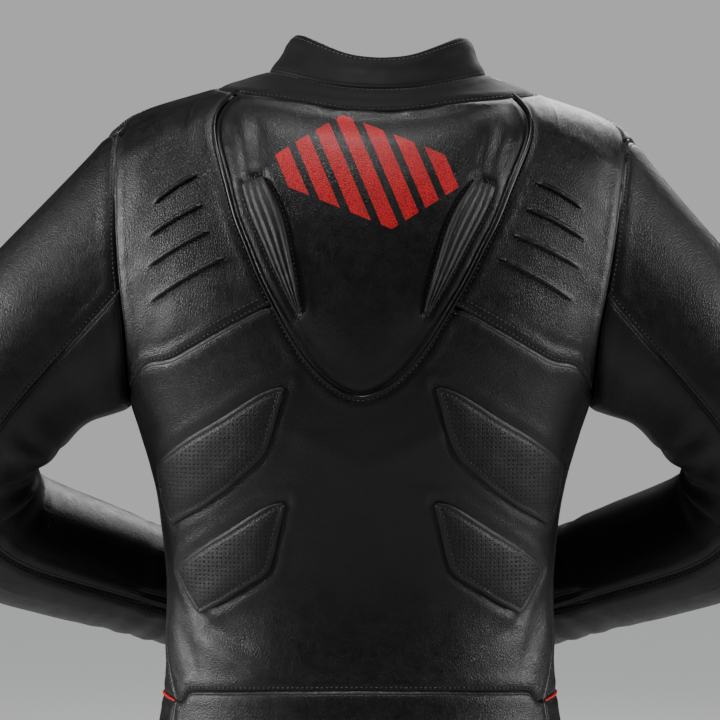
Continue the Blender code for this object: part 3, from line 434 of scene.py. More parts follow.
def leather_finish(name, colour, size, gloss, extra=None, sewn=1.0):
    """Grained leather, a little lighter and smoother where its seams and edges are rubbed."""
    tree, shader, place = new_finish(name)
    grain = pebbles(tree, place, size)
    patches = noise_of(tree, place, 22.0, 4.0, 0.55)
    streaks = noise_of(tree, place, 85.0, 5.0, 0.6, 0.6)
    beside = seam_distance(tree)
    rubbed = times(tree, ranged(tree, beside, 0.0070, 0.0022), ranged(tree, streaks, 0.42, 0.62))
    base = blended(tree, ranged(tree, patches, 0.36, 0.66), shade(colour, 0.75), shade(colour, 1.35))
    base = blended(tree, ranged(tree, grain, 0.15, 0.75), shade(colour, 0.45), base)
    base = blended(tree, times(tree, rubbed, 0.55), base, shade(colour, 3.2))
    rough = ranged(tree, streaks, 0.3, 0.7, gloss - 0.06, gloss + 0.08)
    rough = less(tree, rough, times(tree, rubbed, 0.05))
    channel = times(tree, stitch_channel_and_painted_shade(tree, beside), sewn)
    height = less(tree, grain, times(tree, channel, 0.9))
    # Painted shade: the leather's colour is darkened inside the stitched channel.
    base = blended(tree, times(tree, channel, 0.8), base, shade(colour, 0.15))
    rough = reckoned(tree, 'MAXIMUM', rough, times(tree, channel, 0.95))
    if extra:
        base, rough, height = extra(tree, place, beside, base, rough, height, grain)
    soft = bumped(tree, noise_of(tree, place, 45.0, 2.0, 0.5, 0.5), 0.22, 0.0012)
    feed(tree, shader, {
        "Base Color": base, "Roughness": rough, "Normal": bumped(tree, height, 0.50, 0.00042, soft),
        "Specular IOR Level": 0.5, "Coat Weight": 0.06, "Coat Roughness": 0.30})


def perforations(tree, place, beside, base, rough, height, grain):
    """Rows of small round holes inside a pad's stitched edge."""
    turned = add(tree, "ShaderNodeMapping", {"Vector": place, "Rotation": (math.radians(-90), 0.0, 0.0)})
    cells = add(tree, "ShaderNodeTexVoronoi",
                {"Vector": turned.outputs["Vector"], "Scale": 1 / PERFORATION_PITCH, "Randomness": 0.0},
                voronoi_dimensions='2D', feature='F1')
    hole = ranged(tree, cells.outputs["Distance"], 0.24, 0.17)
    hole = times(tree, hole, ranged(tree, beside, 0.0074, 0.0082))
    # Painted shade: each hole is only bumped in, and is coloured near black for the shade in its depth.
    base = blended(tree, hole, base, (0.0010, 0.0010, 0.0010, 1.0))
    rough = reckoned(tree, 'MAXIMUM', rough, hole)
    height = less(tree, height, times(tree, hole, 3.0))
    return base, rough, height


def bar_print(colour):
    """A red print of slanting bars, tallest in the middle, that lets the grain show."""
    def printed(tree, place, beside, base, rough, height, grain):
        split = add(tree, "ShaderNodeSeparateXYZ", {"Vector": place})
        across = less(tree, split.outputs["X"], PRINT_MIDDLE[0])
        upward = less(tree, split.outputs["Z"], PRINT_MIDDLE[1])
        slanted = less(tree, across, times(tree, upward, PRINT_SLANT))
        far = reckoned(tree, 'ABSOLUTE', slanted)
        bar = ranged(tree, reckoned(tree, 'PINGPONG', slanted, PRINT_PITCH / 2),
                     PRINT_PITCH * 0.335, PRINT_PITCH * 0.325)
        reach = less(tree, PRINT_HALF_HEIGHT, times(tree, far, PRINT_NARROWING))
        reach = less(tree, reach, reckoned(tree, 'ABSOLUTE', upward))
        inside = ranged(tree, reach, -PRINT_EDGE, PRINT_EDGE)
        ends = ranged(tree, less(tree, PRINT_HALF_WIDTH, far), -PRINT_EDGE, PRINT_EDGE)
        ink = times(tree, times(tree, bar, inside), ends)
        worn = ranged(tree, noise_of(tree, place, 900.0, 3.0), 0.62, 0.72, 1.0, 0.75)
        red = blended(tree, ranged(tree, noise_of(tree, place, 40.0, 3.0), 0.35, 0.65),
                      shade(colour, 0.85), shade(colour, 1.08))
        red = blended(tree, ranged(tree, grain, 0.10, 0.55), shade(colour, 0.35), red)
        base = blended(tree, times(tree, ink, worn), base, red)
        rough = reckoned(tree, 'ADD', rough, times(tree, ink, 0.08))
        return base, rough, height
    return printed


def matte_finish(name, colour):
    """Soft, almost smooth leather with a faint sheen, as on the collar and the yoke."""
    tree, shader, place = new_finish(name)
    fine = noise_of(tree, place, 1500.0, 3.0, 0.6)
    patches = noise_of(tree, place, 30.0, 4.0)
    base = blended(tree, ranged(tree, patches, 0.35, 0.65), shade(colour, 0.85), shade(colour, 1.2))
    channel = stitch_channel_and_painted_shade(tree, seam_distance(tree))
    # Painted shade: the leather's colour is darkened inside the stitched channel.
    base = blended(tree, times(tree, channel, 0.8), base, shade(colour, 0.15))
    height = less(tree, times(tree, fine, 0.3), channel)
    soft = bumped(tree, noise_of(tree, place, 75.0, 3.0, 0.5, 0.5), 0.20, 0.001)
    feed(tree, shader, {
        "Base Color": base, "Roughness": ranged(tree, patches, 0.3, 0.7, 0.60, 0.72),
        "Normal": bumped(tree, height, 0.40, 0.00040, soft),
        "Specular IOR Level": 0.22, "Sheen Weight": 0.03, "Sheen Roughness": 0.45})


def cord_finish(name, colour, rough):
    """Fine leather wrapped round a cord."""
    tree, shader, place = new_finish(name)
    fine = noise_of(tree, place, 1100.0, 3.0)
    feed(tree, shader, {
        "Base Color": blended(tree, fine, shade(colour, 0.8), shade(colour, 1.2)),
        "Roughness": ranged(tree, fine, 0.3, 0.7, rough - 0.05, rough + 0.07),
        "Normal": bumped(tree, fine, 0.35, 0.0002)})


def woven_finish(name, waves, dark, light, depth, rough, bands='X'):
    """Fine threads or yarns side by side."""
    tree, shader, place = new_finish(name)
    wave = add(tree, "ShaderNodeTexWave", {"Vector": place, **waves}, bands_direction=bands).outputs["Fac"]
    feed(tree, shader, {"Base Color": blended(tree, wave, dark, light),
                        "Normal": bumped(tree, wave, depth, 0.0002), "Roughness": rough})
    return shader


def thread_finish():
    """Twisted black thread."""
    shader = woven_finish("thread", {"Scale": 900.0, "Distortion": 1.5, "Detail": 1.0},
                          (0.025, 0.025, 0.027, 1.0), (0.060, 0.060, 0.063, 1.0), 0.5, 0.50)
    shader.inputs["Sheen Weight"].default_value = 0.3


def tape_finish():
    """The woven tape beside the zip's teeth."""
    woven_finish("zip_tape", {"Scale": 420.0, "Distortion": 0.3},
                 (0.006, 0.006, 0.007, 1.0), (0.018, 0.018, 0.019, 1.0), 0.6, 0.82, 'Z')


def lining_finish():
    """A black mesh lining on the inner side of the leather."""
    tree, shader, place = new_finish("lining")
    cells = add(tree, "ShaderNodeTexVoronoi", {"Vector": place, "Scale": 520.0, "Randomness": 0.25},
                feature='DISTANCE_TO_EDGE')
    web = ranged(tree, cells.outputs["Distance"], 0.10, 0.30)
    feed(tree, shader, {
        "Base Color": blended(tree, web, (0.020, 0.020, 0.022, 1.0), (0.004, 0.004, 0.004, 1.0)),
        "Normal": bumped(tree, web, -0.5, 0.0003), "Roughness": 0.85})


def metal_finish():
    """Blackened metal, brighter where it is rubbed."""
    tree, shader, place = new_finish("dark_metal")
    wear = noise_of(tree, place, 700.0, 5.0, 0.65)
    scratches = noise_of(tree, place, 2600.0, 2.0)
    bare = ranged(tree, wear, 0.52, 0.72)
    feed(tree, shader, {
        "Base Color": blended(tree, bare, (0.045, 0.045, 0.048, 1.0), (0.22, 0.22, 0.23, 1.0)),
        "Roughness": ranged(tree, wear, 0.3, 0.7, 0.46, 0.28),
        "Normal": bumped(tree, scratches, 0.2, 0.0001), "Metallic": 1.0})


def stage_finish():
    """A pale floor that shows light to the camera alone, so that little falls on the leather."""
    tree, shader, place = new_finish("pale_floor")
    speckle = noise_of(tree, place, 6.0, 4.0)
    seen = add(tree, "ShaderNodeLightPath", {}).outputs["Is Camera Ray"]
    feed(tree, shader, {
        "Base Color": blended(tree, speckle, (0.40, 0.40, 0.41, 1.0), (0.44, 0.44, 0.45, 1.0)),
        "Roughness": 0.85, "Emission Color": (0.97, 0.98, 1.0, 1.0),
        "Emission Strength": times(tree, seen, 0.42)})


# Form

def eased(share):
    """A share held between nothing and all, with soft ends."""
    share = min(max(share, 0.0), 1.0)
    return share * share * (3 - 2 * share)


def bell(distance, width):
    """One in the middle and almost nothing beyond twice the width."""
    return math.exp(-(distance / width) ** 2)


def placed(name, data):
    """A new object in the scene."""
    item = bpy.data.objects.new(name, data)
    bpy.context.scene.collection.objects.link(item)
    return item


def mesh_of(name, shape):
    """A shape as a mesh, after which the shape is let go."""
    mesh = bpy.data.meshes.new(name)
    shape.to_mesh(mesh)
    shape.free()
    return mesh


def copied(node):
    """A merged copy of a solid's mesh."""
    copy = bmesh.new()
    copy.from_mesh(bpy.data.objects[node].data)
    bmesh.ops.remove_doubles(copy, verts=copy.verts, dist=MERGE_DISTANCE)
    return copy


def quadded(shape):
    """The shape with pairs of triangles joined to quads."""
    bmesh.ops.join_triangles(shape, faces=shape.faces, angle_face_threshold=JOIN_ANGLE,
                             angle_shape_threshold=JOIN_ANGLE)
    return shape


def islands(shape):
    """The faces in groups that hang together."""
    groups, seen = [], set()
    for face in shape.faces:
        if face in seen:
            continue
        group, front = [], [face]
        seen.add(face)
        while front:
            here = front.pop()
            group.append(here)
            for edge in here.edges:
                for other in edge.link_faces:
                    if other not in seen:
                        seen.add(other)
                        front.append(other)
        groups.append(group)
    return groups


def outer_skin(node):
    """The outer face of a wall as an open sheet of quads."""
    sheet = copied(node)
    rim_width = CUFF_RIM_WIDTH if node.startswith("cuff") else RIM_WIDTH
    rim = [face for face in sheet.faces if min(edge.calc_length() for edge in face.edges) < rim_width]
    bmesh.ops.delete(sheet, geom=rim, context='FACES')
    skins = islands(sheet)
    outer = set(max(skins, key=lambda skin: sum(face.calc_area() for face in skin)))
    bmesh.ops.delete(sheet, geom=[face for face in sheet.faces if face not in outer], context='FACES')
    return quadded(sheet)


def rounded(shape, levels):
    """The shape as a smooth, finer surface that keeps its corners."""
    mesh = mesh_of("draft", shape)
    draft = placed("draft", mesh)
    rounding = draft.modifiers.new("rounding", 'SUBSURF')
    rounding.levels = rounding.render_levels = levels
    rounding.boundary_smooth = 'PRESERVE_CORNERS'
    fine = bpy.data.meshes.new_from_object(draft.evaluated_get(bpy.context.evaluated_depsgraph_get()))
    out = bmesh.new()
    out.from_mesh(fine)
    bpy.data.objects.remove(draft)
    for used in (mesh, fine):
        bpy.data.meshes.remove(used)
    return out


def border_walks(sheet):
    """Each border as its vertices in order, with the piece on the left of the walk."""
    following = {}
    for edge in sheet.edges:
        if len(edge.link_faces) == 1:
            loop = edge.link_loops[0]
            following[loop.vert] = loop.link_loop_next.vert
    walks = []
    while following:
        start = next(iter(following))
        walk = [start]
        here = following.pop(start)
        while here in following:
            walk.append(here)
            here = following.pop(here)
        walks.append(walk)
    return walks


def along_walk(walk):
    """Each vertex of a border, with the direction of the border there."""
    for before, here, after in zip(walk[-1:] + walk[:-1], walk, walk[1:] + walk[:1]):
        yield here, (after.co - before.co).normalized()


def search_tree(places):
    """Points as a tree that finds the nearest one."""
    tree = kdtree.KDTree(max(len(places), 1))
    for index, place in enumerate(places):
        tree.insert(place, index)
    tree.balance()
    return tree


def border_tree(sheet):
    """Points close together along all borders, as a tree to search."""
    places = []
    for edge in sheet.edges:
        if len(edge.link_faces) == 1:
            first, last = (vert.co for vert in edge.verts)
            places += [first.lerp(last, share / 4) for share in range(4)]
    return search_tree(places)


def crease_rise(place, creases):
    """Soft troughs and ridges, laid out in x and height."""
    x = place.x + noise.noise(place * CREASE_WAVES) * CREASE_WANDER
    z = place.z + noise.noise(place * CREASE_WAVES + CREASE_SHIFT) * CREASE_WANDER
    rise = 0.0
    for middle_x, middle_z, half_length, half_width, tilt, height in creases:
        turn = math.radians(tilt)
        along = (x - middle_x) * math.cos(turn) + (z - middle_z) * math.sin(turn)
        across = (z - middle_z) * math.cos(turn) - (x - middle_x) * math.sin(turn)
        if abs(along) < 2.5 * half_length and abs(across) < 3 * half_width:
            rise += height * bell(along, half_length) * bell(across, half_width)
    return rise


def unevenness(place, height):
    """Leather that hangs a little loose."""
    return height * (0.7 * noise.noise(place * 19.0) + 0.3 * noise.noise(place * 48.0))


def seam_rise(distance, place, depth):
    """The leather sinks in at a seam and swells beside it, with slight puckers."""
    pucker = 1.0 + 0.55 * noise.noise(place * 95.0)
    return (-depth * bell(distance, SEAM_WIDTH)
            + SWELL_HEIGHT * pucker * bell(distance - SWELL_PLACE, SWELL_WIDTH))


def line_distance(place, line):
    """How far off a line is, how far along it the nearest point lies, its length, and that point."""
    best, at, gone, nearest = 1.0, 0.0, 0.0, line[0]
    for first, last in zip(line, line[1:]):
        step = last - first
        share = min(max((place - first).dot(step) / step.length_squared, 0.0), 1.0)
        spot = first + step * share
        far = (place - spot).length
        if far < best:
            best, at, nearest = far, gone + step.length * share, spot
        gone += step.length
    return best, at, gone, nearest


def ridge_lines(node, sheet):
    """Where the ridges of a shoulder blade run over its leather."""
    tree = BVHTree.FromBMesh(sheet)
    lines = []
    for inner_x, inner_z, outer_x, outer_z in RIDGES[node]:
        line = []
        for step in range(RIDGE_POINTS):
            share = step / (RIDGE_POINTS - 1)
            x = inner_x + (outer_x - inner_x) * share
            z = inner_z + (outer_z - inner_z) * share + RIDGE_BOW * 4 * share * (1 - share)
            line.append(tree.ray_cast(Vector((x, 0.5, z)), Vector((0, -1, 0)))[0])
        lines.append(line)
    return lines


def flattened(sheet, lines):
    """Lets the solid's broad ridges down, so that the corded ones lie on even leather."""
    near = [vert for vert in sheet.verts if not vert.is_boundary
            and min(line_distance(vert.co, line)[0] for line in lines) < RIDGE_EVENED]
    for _ in range(RIDGE_ROUNDS):
        sheet.normal_update()
        moves = []
        for vert in near:
            around = [edge.other_vert(vert).co for edge in vert.link_edges]
            bulge = (vert.co - sum(around, Vector()) / len(around)).dot(vert.normal)
            if bulge > RIDGE_LEFT_OVER:
                moves.append((vert, vert.normal * bulge))
        for vert, move in moves:
            vert.co -= move


def ridge_rise(place, lines):
    """Leather that swells to a corded ridge and sinks into the stitched channel under it."""
    rise = 0.0
    for line in lines:
        far, at, length, nearest = line_distance(place, line)
        if far < RIDGE_FOOT:
            ends = eased(min(at, length - at) / 0.012 + 0.05)
            below = 1.0 if place.z < nearest.z else 0.0
            channel = 0.0004 * below * bell(far - RIDGE_SEWING, 0.0014)
            rise += ends * (0.0009 * bell(far, 0.0036) - channel)
    return rise


def sleeve_rise(place, side):
    """Rings of folds inside the elbow and above the cuff."""
    flip = Vector((1 if side == "left" else -1, 1, 1))
    spot = place * flip
    at = line_distance(spot, ARM_LINE)[1]
    inner = eased(1.25 - (spot - INSIDE_OF_ELBOW).length / 0.11)
    warp = noise.noise(spot * 16.0) * 0.9
    elbow = math.sin(at * 2 * math.pi / ELBOW_FOLD + warp * 3.2) * (0.0010 + 0.0030 * inner)
    elbow *= bell(at - ELBOW_AT, 0.075)
    wrist = math.sin(at * 2 * math.pi / WRIST_FOLD + warp * 4.0) * 0.0012 * bell(at - WRIST_AT, 0.045)
    loose = 0.0016 * noise.noise(spot * 13.0) * eased(at / 0.05)
    return elbow + wrist + loose


def torso_rule(node, settings):
    """How far a point of a torso piece moves out."""
    lines = ridges.get(node, ())
    trims = [border_tree(outer_skin(trim)) for trim in LET_IN.get(node, ())]

    def rule(place, normal, distance):
        creases = BACK_CREASES if normal.y > 0 else FRONT_CREASES
        away = eased((distance - 0.002) / 0.012)
        rise = seam_rise(distance, place, settings.seam_depth)
        rise += (crease_rise(place, creases) + unevenness(place, settings.looseness)) * away
        if node == "hump_panel":
            top = eased((place.z + 0.075) / 0.030) * eased((0.125 - abs(place.x + 0.006)) / 0.04)
            wave = 1.0 + 0.8 * noise.noise(Vector((place.x * 38.0, 1.7, 0.3)))
            rise += ROLL_HEIGHT * top * wave * bell(distance - ROLL_PLACE, ROLL_WIDTH)
        for trim in trims:
            far = trim.find(place)[2]
            rise += 0.0010 * bell(far - 0.0085, 0.0050) - 0.0012 * bell(far, 0.0034)
        if lines:
            rise += ridge_rise(place, lines)
        return rise
    return rule


def plain_rule(node, settings):
    """How far a point of the neck's or the waistband's leather moves out."""
    def rule(place, normal, distance):
        away = eased((distance - 0.002) / 0.010)
        rise = seam_rise(distance, place, settings.seam_depth * 0.8)
        return rise + unevenness(place, settings.looseness * 0.6) * away
    return rule


def sleeve_rule(node, settings):
    """How far a point of a sleeve or a cuff moves out."""
    side = node.rsplit("_", 1)[1]

    def rule(place, normal, distance):
        away = eased((distance - 0.002) / 0.012)
        return seam_rise(distance, place, settings.seam_depth) + sleeve_rise(place, side) * away
    return rule


def moved_out(sheet, rule):
    """Moves each vertex along its normal by the rule, and notes its distance from a seam."""
    sheet.normal_update()
    seams = border_tree(sheet)
    layer = sheet.verts.layers.float.new("seam_distance")
    moves = []
    for vert in sheet.verts:
        distance = seams.find(vert.co)[2]
        vert[layer] = distance
        moves.append(vert.co + vert.normal * rule(vert.co.copy(), vert.normal, distance))
    for vert, place in zip(sheet.verts, moves):
        vert.co = place
    sheet.normal_update()


def noted(node, sheet):
    """Keeps a piece's surface and its borders for the rows of stitches."""
    surfaces[node] = BVHTree.FromBMesh(sheet)
    borders[node] = []
    for walk in border_walks(sheet):
        borders[node].append([(here.co.copy(), here.normal.cross(along).normalized())
                              for here, along in along_walk(walk)])


def turned_under(sheet, reach=0.0024, drop=0.0032):
    """Folds a narrow seam allowance in along every border."""
    edges = [edge for edge in sheet.edges if len(edge.link_faces) == 1]
    moves = {}
    for walk in border_walks(sheet):
        for here, along in along_walk(walk):
            outward = along.cross(here.normal).normalized()
            moves[tuple(here.co)] = outward * reach - here.normal * drop
    folded = bmesh.ops.extrude_edge_only(sheet, edges=edges)["geom"]
    for vert in folded:
        if isinstance(vert, bmesh.types.BMVert):
            vert.co += moves[tuple(vert.co)]


def made(name, shape, finish):
    """A finished object of the jacket that rides on its body."""
    mesh = mesh_of(name, shape)
    mesh.materials.append(finishes[finish])
    if finish in LINED:
        mesh.materials.append(finishes["lining"])
    mesh.shade_smooth()
    item = placed(name, mesh)
    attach(item, BODY)
    return item


def walled(item, thickness, lining=0):
    """Gives an open sheet its thickness, inwards, with a finish for the inner side."""
    shell = item.modifiers.new("wall", 'SOLIDIFY')
    shell.thickness = thickness
    shell.offset = -1.0
    shell.material_offset = lining


def make_cuts(cuts, rule_of, settings):
    """One leather shell for each cut."""
    for node, finish, levels, width, length, area, held in cuts:
        skin = outer_skin(node)
        if node in RIDGES:
            flattened(skin, ridge_lines(node, skin))
            ridges[node] = ridge_lines(node, skin)
        sheet = rounded(skin, levels)
        moved_out(sheet, rule_of(node, settings))
        noted(node, sheet)
        turned_under(sheet)
        item = made(node + "_leather", sheet, finish)
        walled(item, settings.wall, 1)
        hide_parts(node)


class JACKET_OT_finishes(bpy.types.Operator):
    """Makes the leathers, the thread, the tape and the metal"""
    bl_idname = "jacket.finishes"
    bl_label = "Finishes"

    def execute(self, context):
        leather = context.scene.jacket_leather
        colour = tuple(leather.leather_colour)
        accent = tuple(leather.accent_colour)
        leather_finish("cowhide", colour, leather.grain, 0.42)
        leather_finish("printed_cowhide", colour, leather.grain, 0.42, bar_print(accent))
        leather_finish("perforated_leather", shade(colour, 1.1)[:3], leather.grain * 0.8, 0.50,
                       perforations, 0.0)
        leather_finish("ribbed_leather", shade(colour, 0.9)[:3], leather.grain * 0.8, 0.48, sewn=0.0)
        # Painted highlight: the ridges take the cowhide made lighter, so that the cords read as catching the
        # light.
        leather_finish("ridge_leather_painted_highlight", shade(colour, 1.6)[:3], leather.grain, 0.33, sewn=0.0)
        matte_finish("matte_leather", tuple(leather.collar_colour))
        cord_finish("black_cord", shade(colour, 0.9)[:3], 0.30)
        cord_finish("red_cord", accent, 0.42)
        thread_finish()
        tape_finish()
        lining_finish()
        metal_finish()
        stage_finish()
        return {'FINISHED'}


class JACKET_OT_torso(bpy.types.Operator):
    """Makes the back, the hump, the shoulder blades, the sides and the fronts"""
    bl_idname = "jacket.torso"
    bl_label = "Torso panels"

    def execute(self, context):
        make_cuts(TORSO_CUTS, torso_rule, context.scene.jacket_leather)
        return {'FINISHED'}


class JACKET_OT_neck(bpy.types.Operator):
    """Makes the yoke and the stand collar"""
    bl_idname = "jacket.neck"
    bl_label = "Yoke and collar"

    def execute(self, context):
        make_cuts(NECK_CUTS, plain_rule, context.scene.jacket_leather)
        return {'FINISHED'}


class JACKET_OT_waistband(bpy.types.Operator):
    """Makes the five pieces of the waistband"""
    bl_idname = "jacket.waistband"
    bl_label = "Waistband"

    def execute(self, context):
        make_cuts(WAIST_CUTS, plain_rule, context.scene.jacket_leather)
        return {'FINISHED'}


class JACKET_OT_sleeves(bpy.types.Operator):
    """Makes the sleeves and the cuffs"""
    bl_idname = "jacket.sleeves"
    bl_label = "Sleeves and cuffs"

    def execute(self, context):
        make_cuts(SLEEVE_CUTS, sleeve_rule, context.scene.jacket_leather)
        return {'FINISHED'}


def padded_form(node, levels, rule):
    """A soft closed form of a pad, its upper face moved by the rule and its foot let down."""
    skin = outer_skin(node)
    seams = border_tree(skin)
    skin.normal_update()
    outward = sum((face.normal * face.calc_area() for face in skin.faces), Vector()).normalized()
    noted(node, skin)
    skin.free()
    pad = rounded(quadded(copied(node)), levels)
    pad.normal_update()
    layer = pad.verts.layers.float.new("seam_distance")
    moves = []
    for vert in pad.verts:
        distance = seams.find(vert.co)[2]
        facing = vert.normal.dot(outward)
        vert[layer] = distance
        lift = rule(vert.co.copy(), distance) * eased(facing / 0.35) - 0.0016 * eased(-facing / 0.35 + 0.4)
        moves.append(vert.co + outward * lift)
    for vert, place in zip(pad.verts, moves):
        vert.co = place
    surfaces[node] = BVHTree.FromBMesh(pad)
    return pad


def pad_rule(place, distance):
    """A rolled edge, a stitched channel and a crowned field."""
    return (0.0004 * bell(distance - 0.0022, 0.0020) - 0.0007 * bell(distance - PAD_CHANNEL, 0.0014)
            + 0.0009 * eased((distance - 0.0065) / 0.014) + 0.0006 * noise.noise(place * 45.0))


def insert_rule(place, distance):
    """A rolled edge and an even field."""
    return 0.0004 * bell(distance - 0.002, 0.002) + 0.0006 * eased((distance - 0.003) / 0.006)


def make_padding(node, rule, finish):
    """The soft piece that stands for a pad or an insert."""
    item = made(node + "_padding", padded_form(node, 3, rule), finish)
    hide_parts(node)


class JACKET_OT_pads(bpy.types.Operator):
    """Makes the four perforated pads on the back"""
    bl_idname = "jacket.pads"
    bl_label = "Perforated pads"

    def execute(self, context):
        for level in ("upper", "lower"):
            for side in SIDES:
                make_padding("pad_" + level + "_" + side, pad_rule, "perforated_leather")
        return {'FINISHED'}


class JACKET_OT_inserts(bpy.types.Operator):
    """Makes the two ribbed inserts on the hump"""
    bl_idname = "jacket.inserts"
    bl_label = "Ribbed inserts"

    def execute(self, context):
        for side in SIDES:
            make_padding("rib_insert_" + side, insert_rule, "ribbed_leather")
        return {'FINISHED'}


def corded_ridge(line, surface):
    """A cord under leather: a tube with sunken ends that lies along a line on a surface."""
    rod = bmesh.new()
    bmesh.ops.create_cone(rod, cap_ends=True, segments=RIDGE_SIDES, radius1=1.0, radius2=1.0, depth=1.0)
    lengthwise = [edge for edge in rod.edges if abs(edge.verts[0].co.z - edge.verts[1].co.z) > 0.5]
    bmesh.ops.subdivide_edges(rod, edges=lengthwise, cuts=2 * RIDGE_POINTS - 3)
    for vert in rod.verts:
        reach = (vert.co.z + 0.5) * (RIDGE_POINTS - 1)
        step = min(int(reach), RIDGE_POINTS - 2)
        spot = line[step].lerp(line[step + 1], reach - step)
        spot, up, _, _ = surface.find_nearest(spot)
        up = (up + Vector((0, 1, 0))).normalized()
        along = (line[-1] - line[0]).normalized()
        across = along.cross(up).normalized()
        if across.z < 0:
            across = -across
        full = eased(min(reach, RIDGE_POINTS - 1 - reach) / 3.5)
        girth = RIDGE_RADIUS * (0.25 + 0.75 * full)
        middle = spot + up * RIDGE_RADIUS * (1.1 * full - 0.9)
        wide = RIDGE_UPPER_SLOPE if vert.co.x > 0 else RIDGE_LOWER_SLOPE
        vert.co = middle + across * vert.co.x * girth * wide + up * vert.co.y * girth
    rod.normal_update()
    bmesh.ops.recalc_face_normals(rod, faces=rod.faces[:])
    return rod


class JACKET_OT_ridges(bpy.types.Operator):
    """Makes the corded ridges on the shoulder blades"""
    bl_idname = "jacket.ridges"
    bl_label = "Corded ridges"

    def execute(self, context):
        carrier = bpy.data.meshes.new("carrier")
        for node, lines in ridges.items():
            whole = bmesh.new()
            for line in lines:
                rod = corded_ridge(line, surfaces[node])
                rod.to_mesh(carrier)
                rod.free()
                whole.from_mesh(carrier)
            layer = whole.verts.layers.float.new("seam_distance")
            for vert in whole.verts:
                vert[layer] = 0.02
            item = made(node + "_ridges", whole, "ridge_leather_painted_highlight")
        bpy.data.meshes.remove(carrier)
        return {'FINISHED'}


class JACKET_OT_piping(bpy.types.Operator):
    """Makes the cords in the hump's seam and along the sides of the waist"""
    bl_idname = "jacket.piping"
    bl_label = "Piping"

    def execute(self, context):
        for node, finish, slot in (("hump_piping", "black_cord", "black_piping"),
                                   ("waist_piping_left", "red_cord", "red_piping"),
                                   ("waist_piping_right", "red_cord", "red_piping")):
            cord = rounded(quadded(copied(node)), 2)
            if finish == "red_cord":
                for vert in cord.verts:
                    vert.co -= Vector((vert.co.x, vert.co.y, 0.0)).normalized() * WAIST_CORD_SINK
            item = made(node + "_cord", cord, finish)
            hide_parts(node)
        return {'FINISHED'}


# Stitches

def meeting_tree(nodes):
    """The borders of some pieces as a tree to search."""
    return search_tree([place for node in nodes for line in borders[node] for place, _ in line])


def row_stretches(node, meets, offset):
    """Stretches of a border that meet other pieces, or that meet none, moved in to the row."""
    others = [other for other in borders if other != node]
    tree = meeting_tree(meets or others)
    stretches = []
    for line in borders[node]:
        flags = [(tree.find(place)[2] < MEETING_DISTANCE) == bool(meets) for place, _ in line]
        first = next((i for i, flag in enumerate(flags) if not flag), 0)
        stretch = []
        for i in range(first, first + len(line) + 1):
            place, inward = line[i % len(line)]
            if flags[i % len(line)]:
                stretch.append(place + inward * offset)
            elif stretch:
                stretches.append(stretch)
                stretch = []
        if stretch:
            stretches.append(stretch)
    return [stretch for stretch in stretches if len(stretch) > 3]


def along_row(points, step):
    """Places at even steps along a line, with the line's direction there."""
    out, left = [], step / 2
    for first, last in zip(points, points[1:]):
        span = last - first
        length = span.length
        if length < 1e-7:
            continue
        while left <= length:
            out.append((first + span * (left / length), span / length))
            left += step
        left -= length
    return out


def stitch_row(total, carrier, surface, steps, settings, wanted):
    """Adds one row of stitches that lie on a surface."""
    row = bmesh.new()
    size = Matrix.Diagonal((settings.stitch / 2, settings.thread / 2, settings.thread * 0.45, 1.0))
    for place, along in steps:
        spot, normal, _, _ = surface.find_nearest(place)
        if not wanted(spot):
            continue
        along = (along - normal * along.dot(normal)).normalized()
        turn = Matrix((along, normal.cross(along), normal)).transposed().to_4x4()
        spot = spot + normal * settings.thread * 0.12
        form = Matrix.Translation(spot) @ turn @ size
        bmesh.ops.create_icosphere(row, subdivisions=1, radius=1.0, matrix=form)
    row.to_mesh(carrier)
    row.free()
    total.from_mesh(carrier)


def sew_ridges(name, settings):
    """A row of stitches under each ridge of the shoulder blades."""
    carrier = bpy.data.meshes.new(name)
    total = bmesh.new()
    for node, lines in ridges.items():
        for line in lines:
            points = [point + Vector((0.0, 0.0, -RIDGE_SEWING)) for point in line]
            stitch_row(total, carrier, surfaces[node], along_row(points, settings.stitch + settings.space),
                       settings, lambda spot: True)
    bpy.data.meshes.remove(carrier)
    item = made(name, total, "thread")


def sew(rows, name, settings):
    """All the stitches of some rows as one piece."""
    step = settings.stitch + settings.space
    carrier = bpy.data.meshes.new(name)
    total = bmesh.new()
    for node, meets, offsets in rows:
        seams = meeting_tree([node])
        for offset in offsets:
            surface = surfaces[node if offset > 0 else "hump_panel"]
            for stretch in row_stretches(node, meets, offset):
                stitch_row(total, carrier, surface, along_row(stretch, step), settings,
                           lambda spot: seams.find(spot)[2] > offset * 0.8)
    bpy.data.meshes.remove(carrier)
    item = made(name, total, "thread")


class JACKET_OT_stitches(bpy.types.Operator):
    """Sews the rows of stitches beside the seams"""
    bl_idname = "jacket.stitches"
    bl_label = "Stitches"

    def execute(self, context):
        settings = context.scene.jacket_sewing
        sew(TORSO_ROWS, "torso_stitches", settings)
        sew(SLEEVE_ROWS, "sleeve_stitches", settings)
        sew(TRIM_ROWS, "pad_stitches", settings)
        sew_ridges("ridge_stitches", settings)
        return {'FINISHED'}


# The zip

def zip_middle():
    """The middle of the zip as a line from the neck to the hem."""
    skin = outer_skin("zip_chain")
    levels = {}
    for vert in skin.verts:
        levels.setdefault(round(vert.co.z, 2), []).append(vert.co.copy())
    skin.free()
    return [sum(spots, Vector()) / len(spots) for _, spots in sorted(levels.items(), reverse=True)]


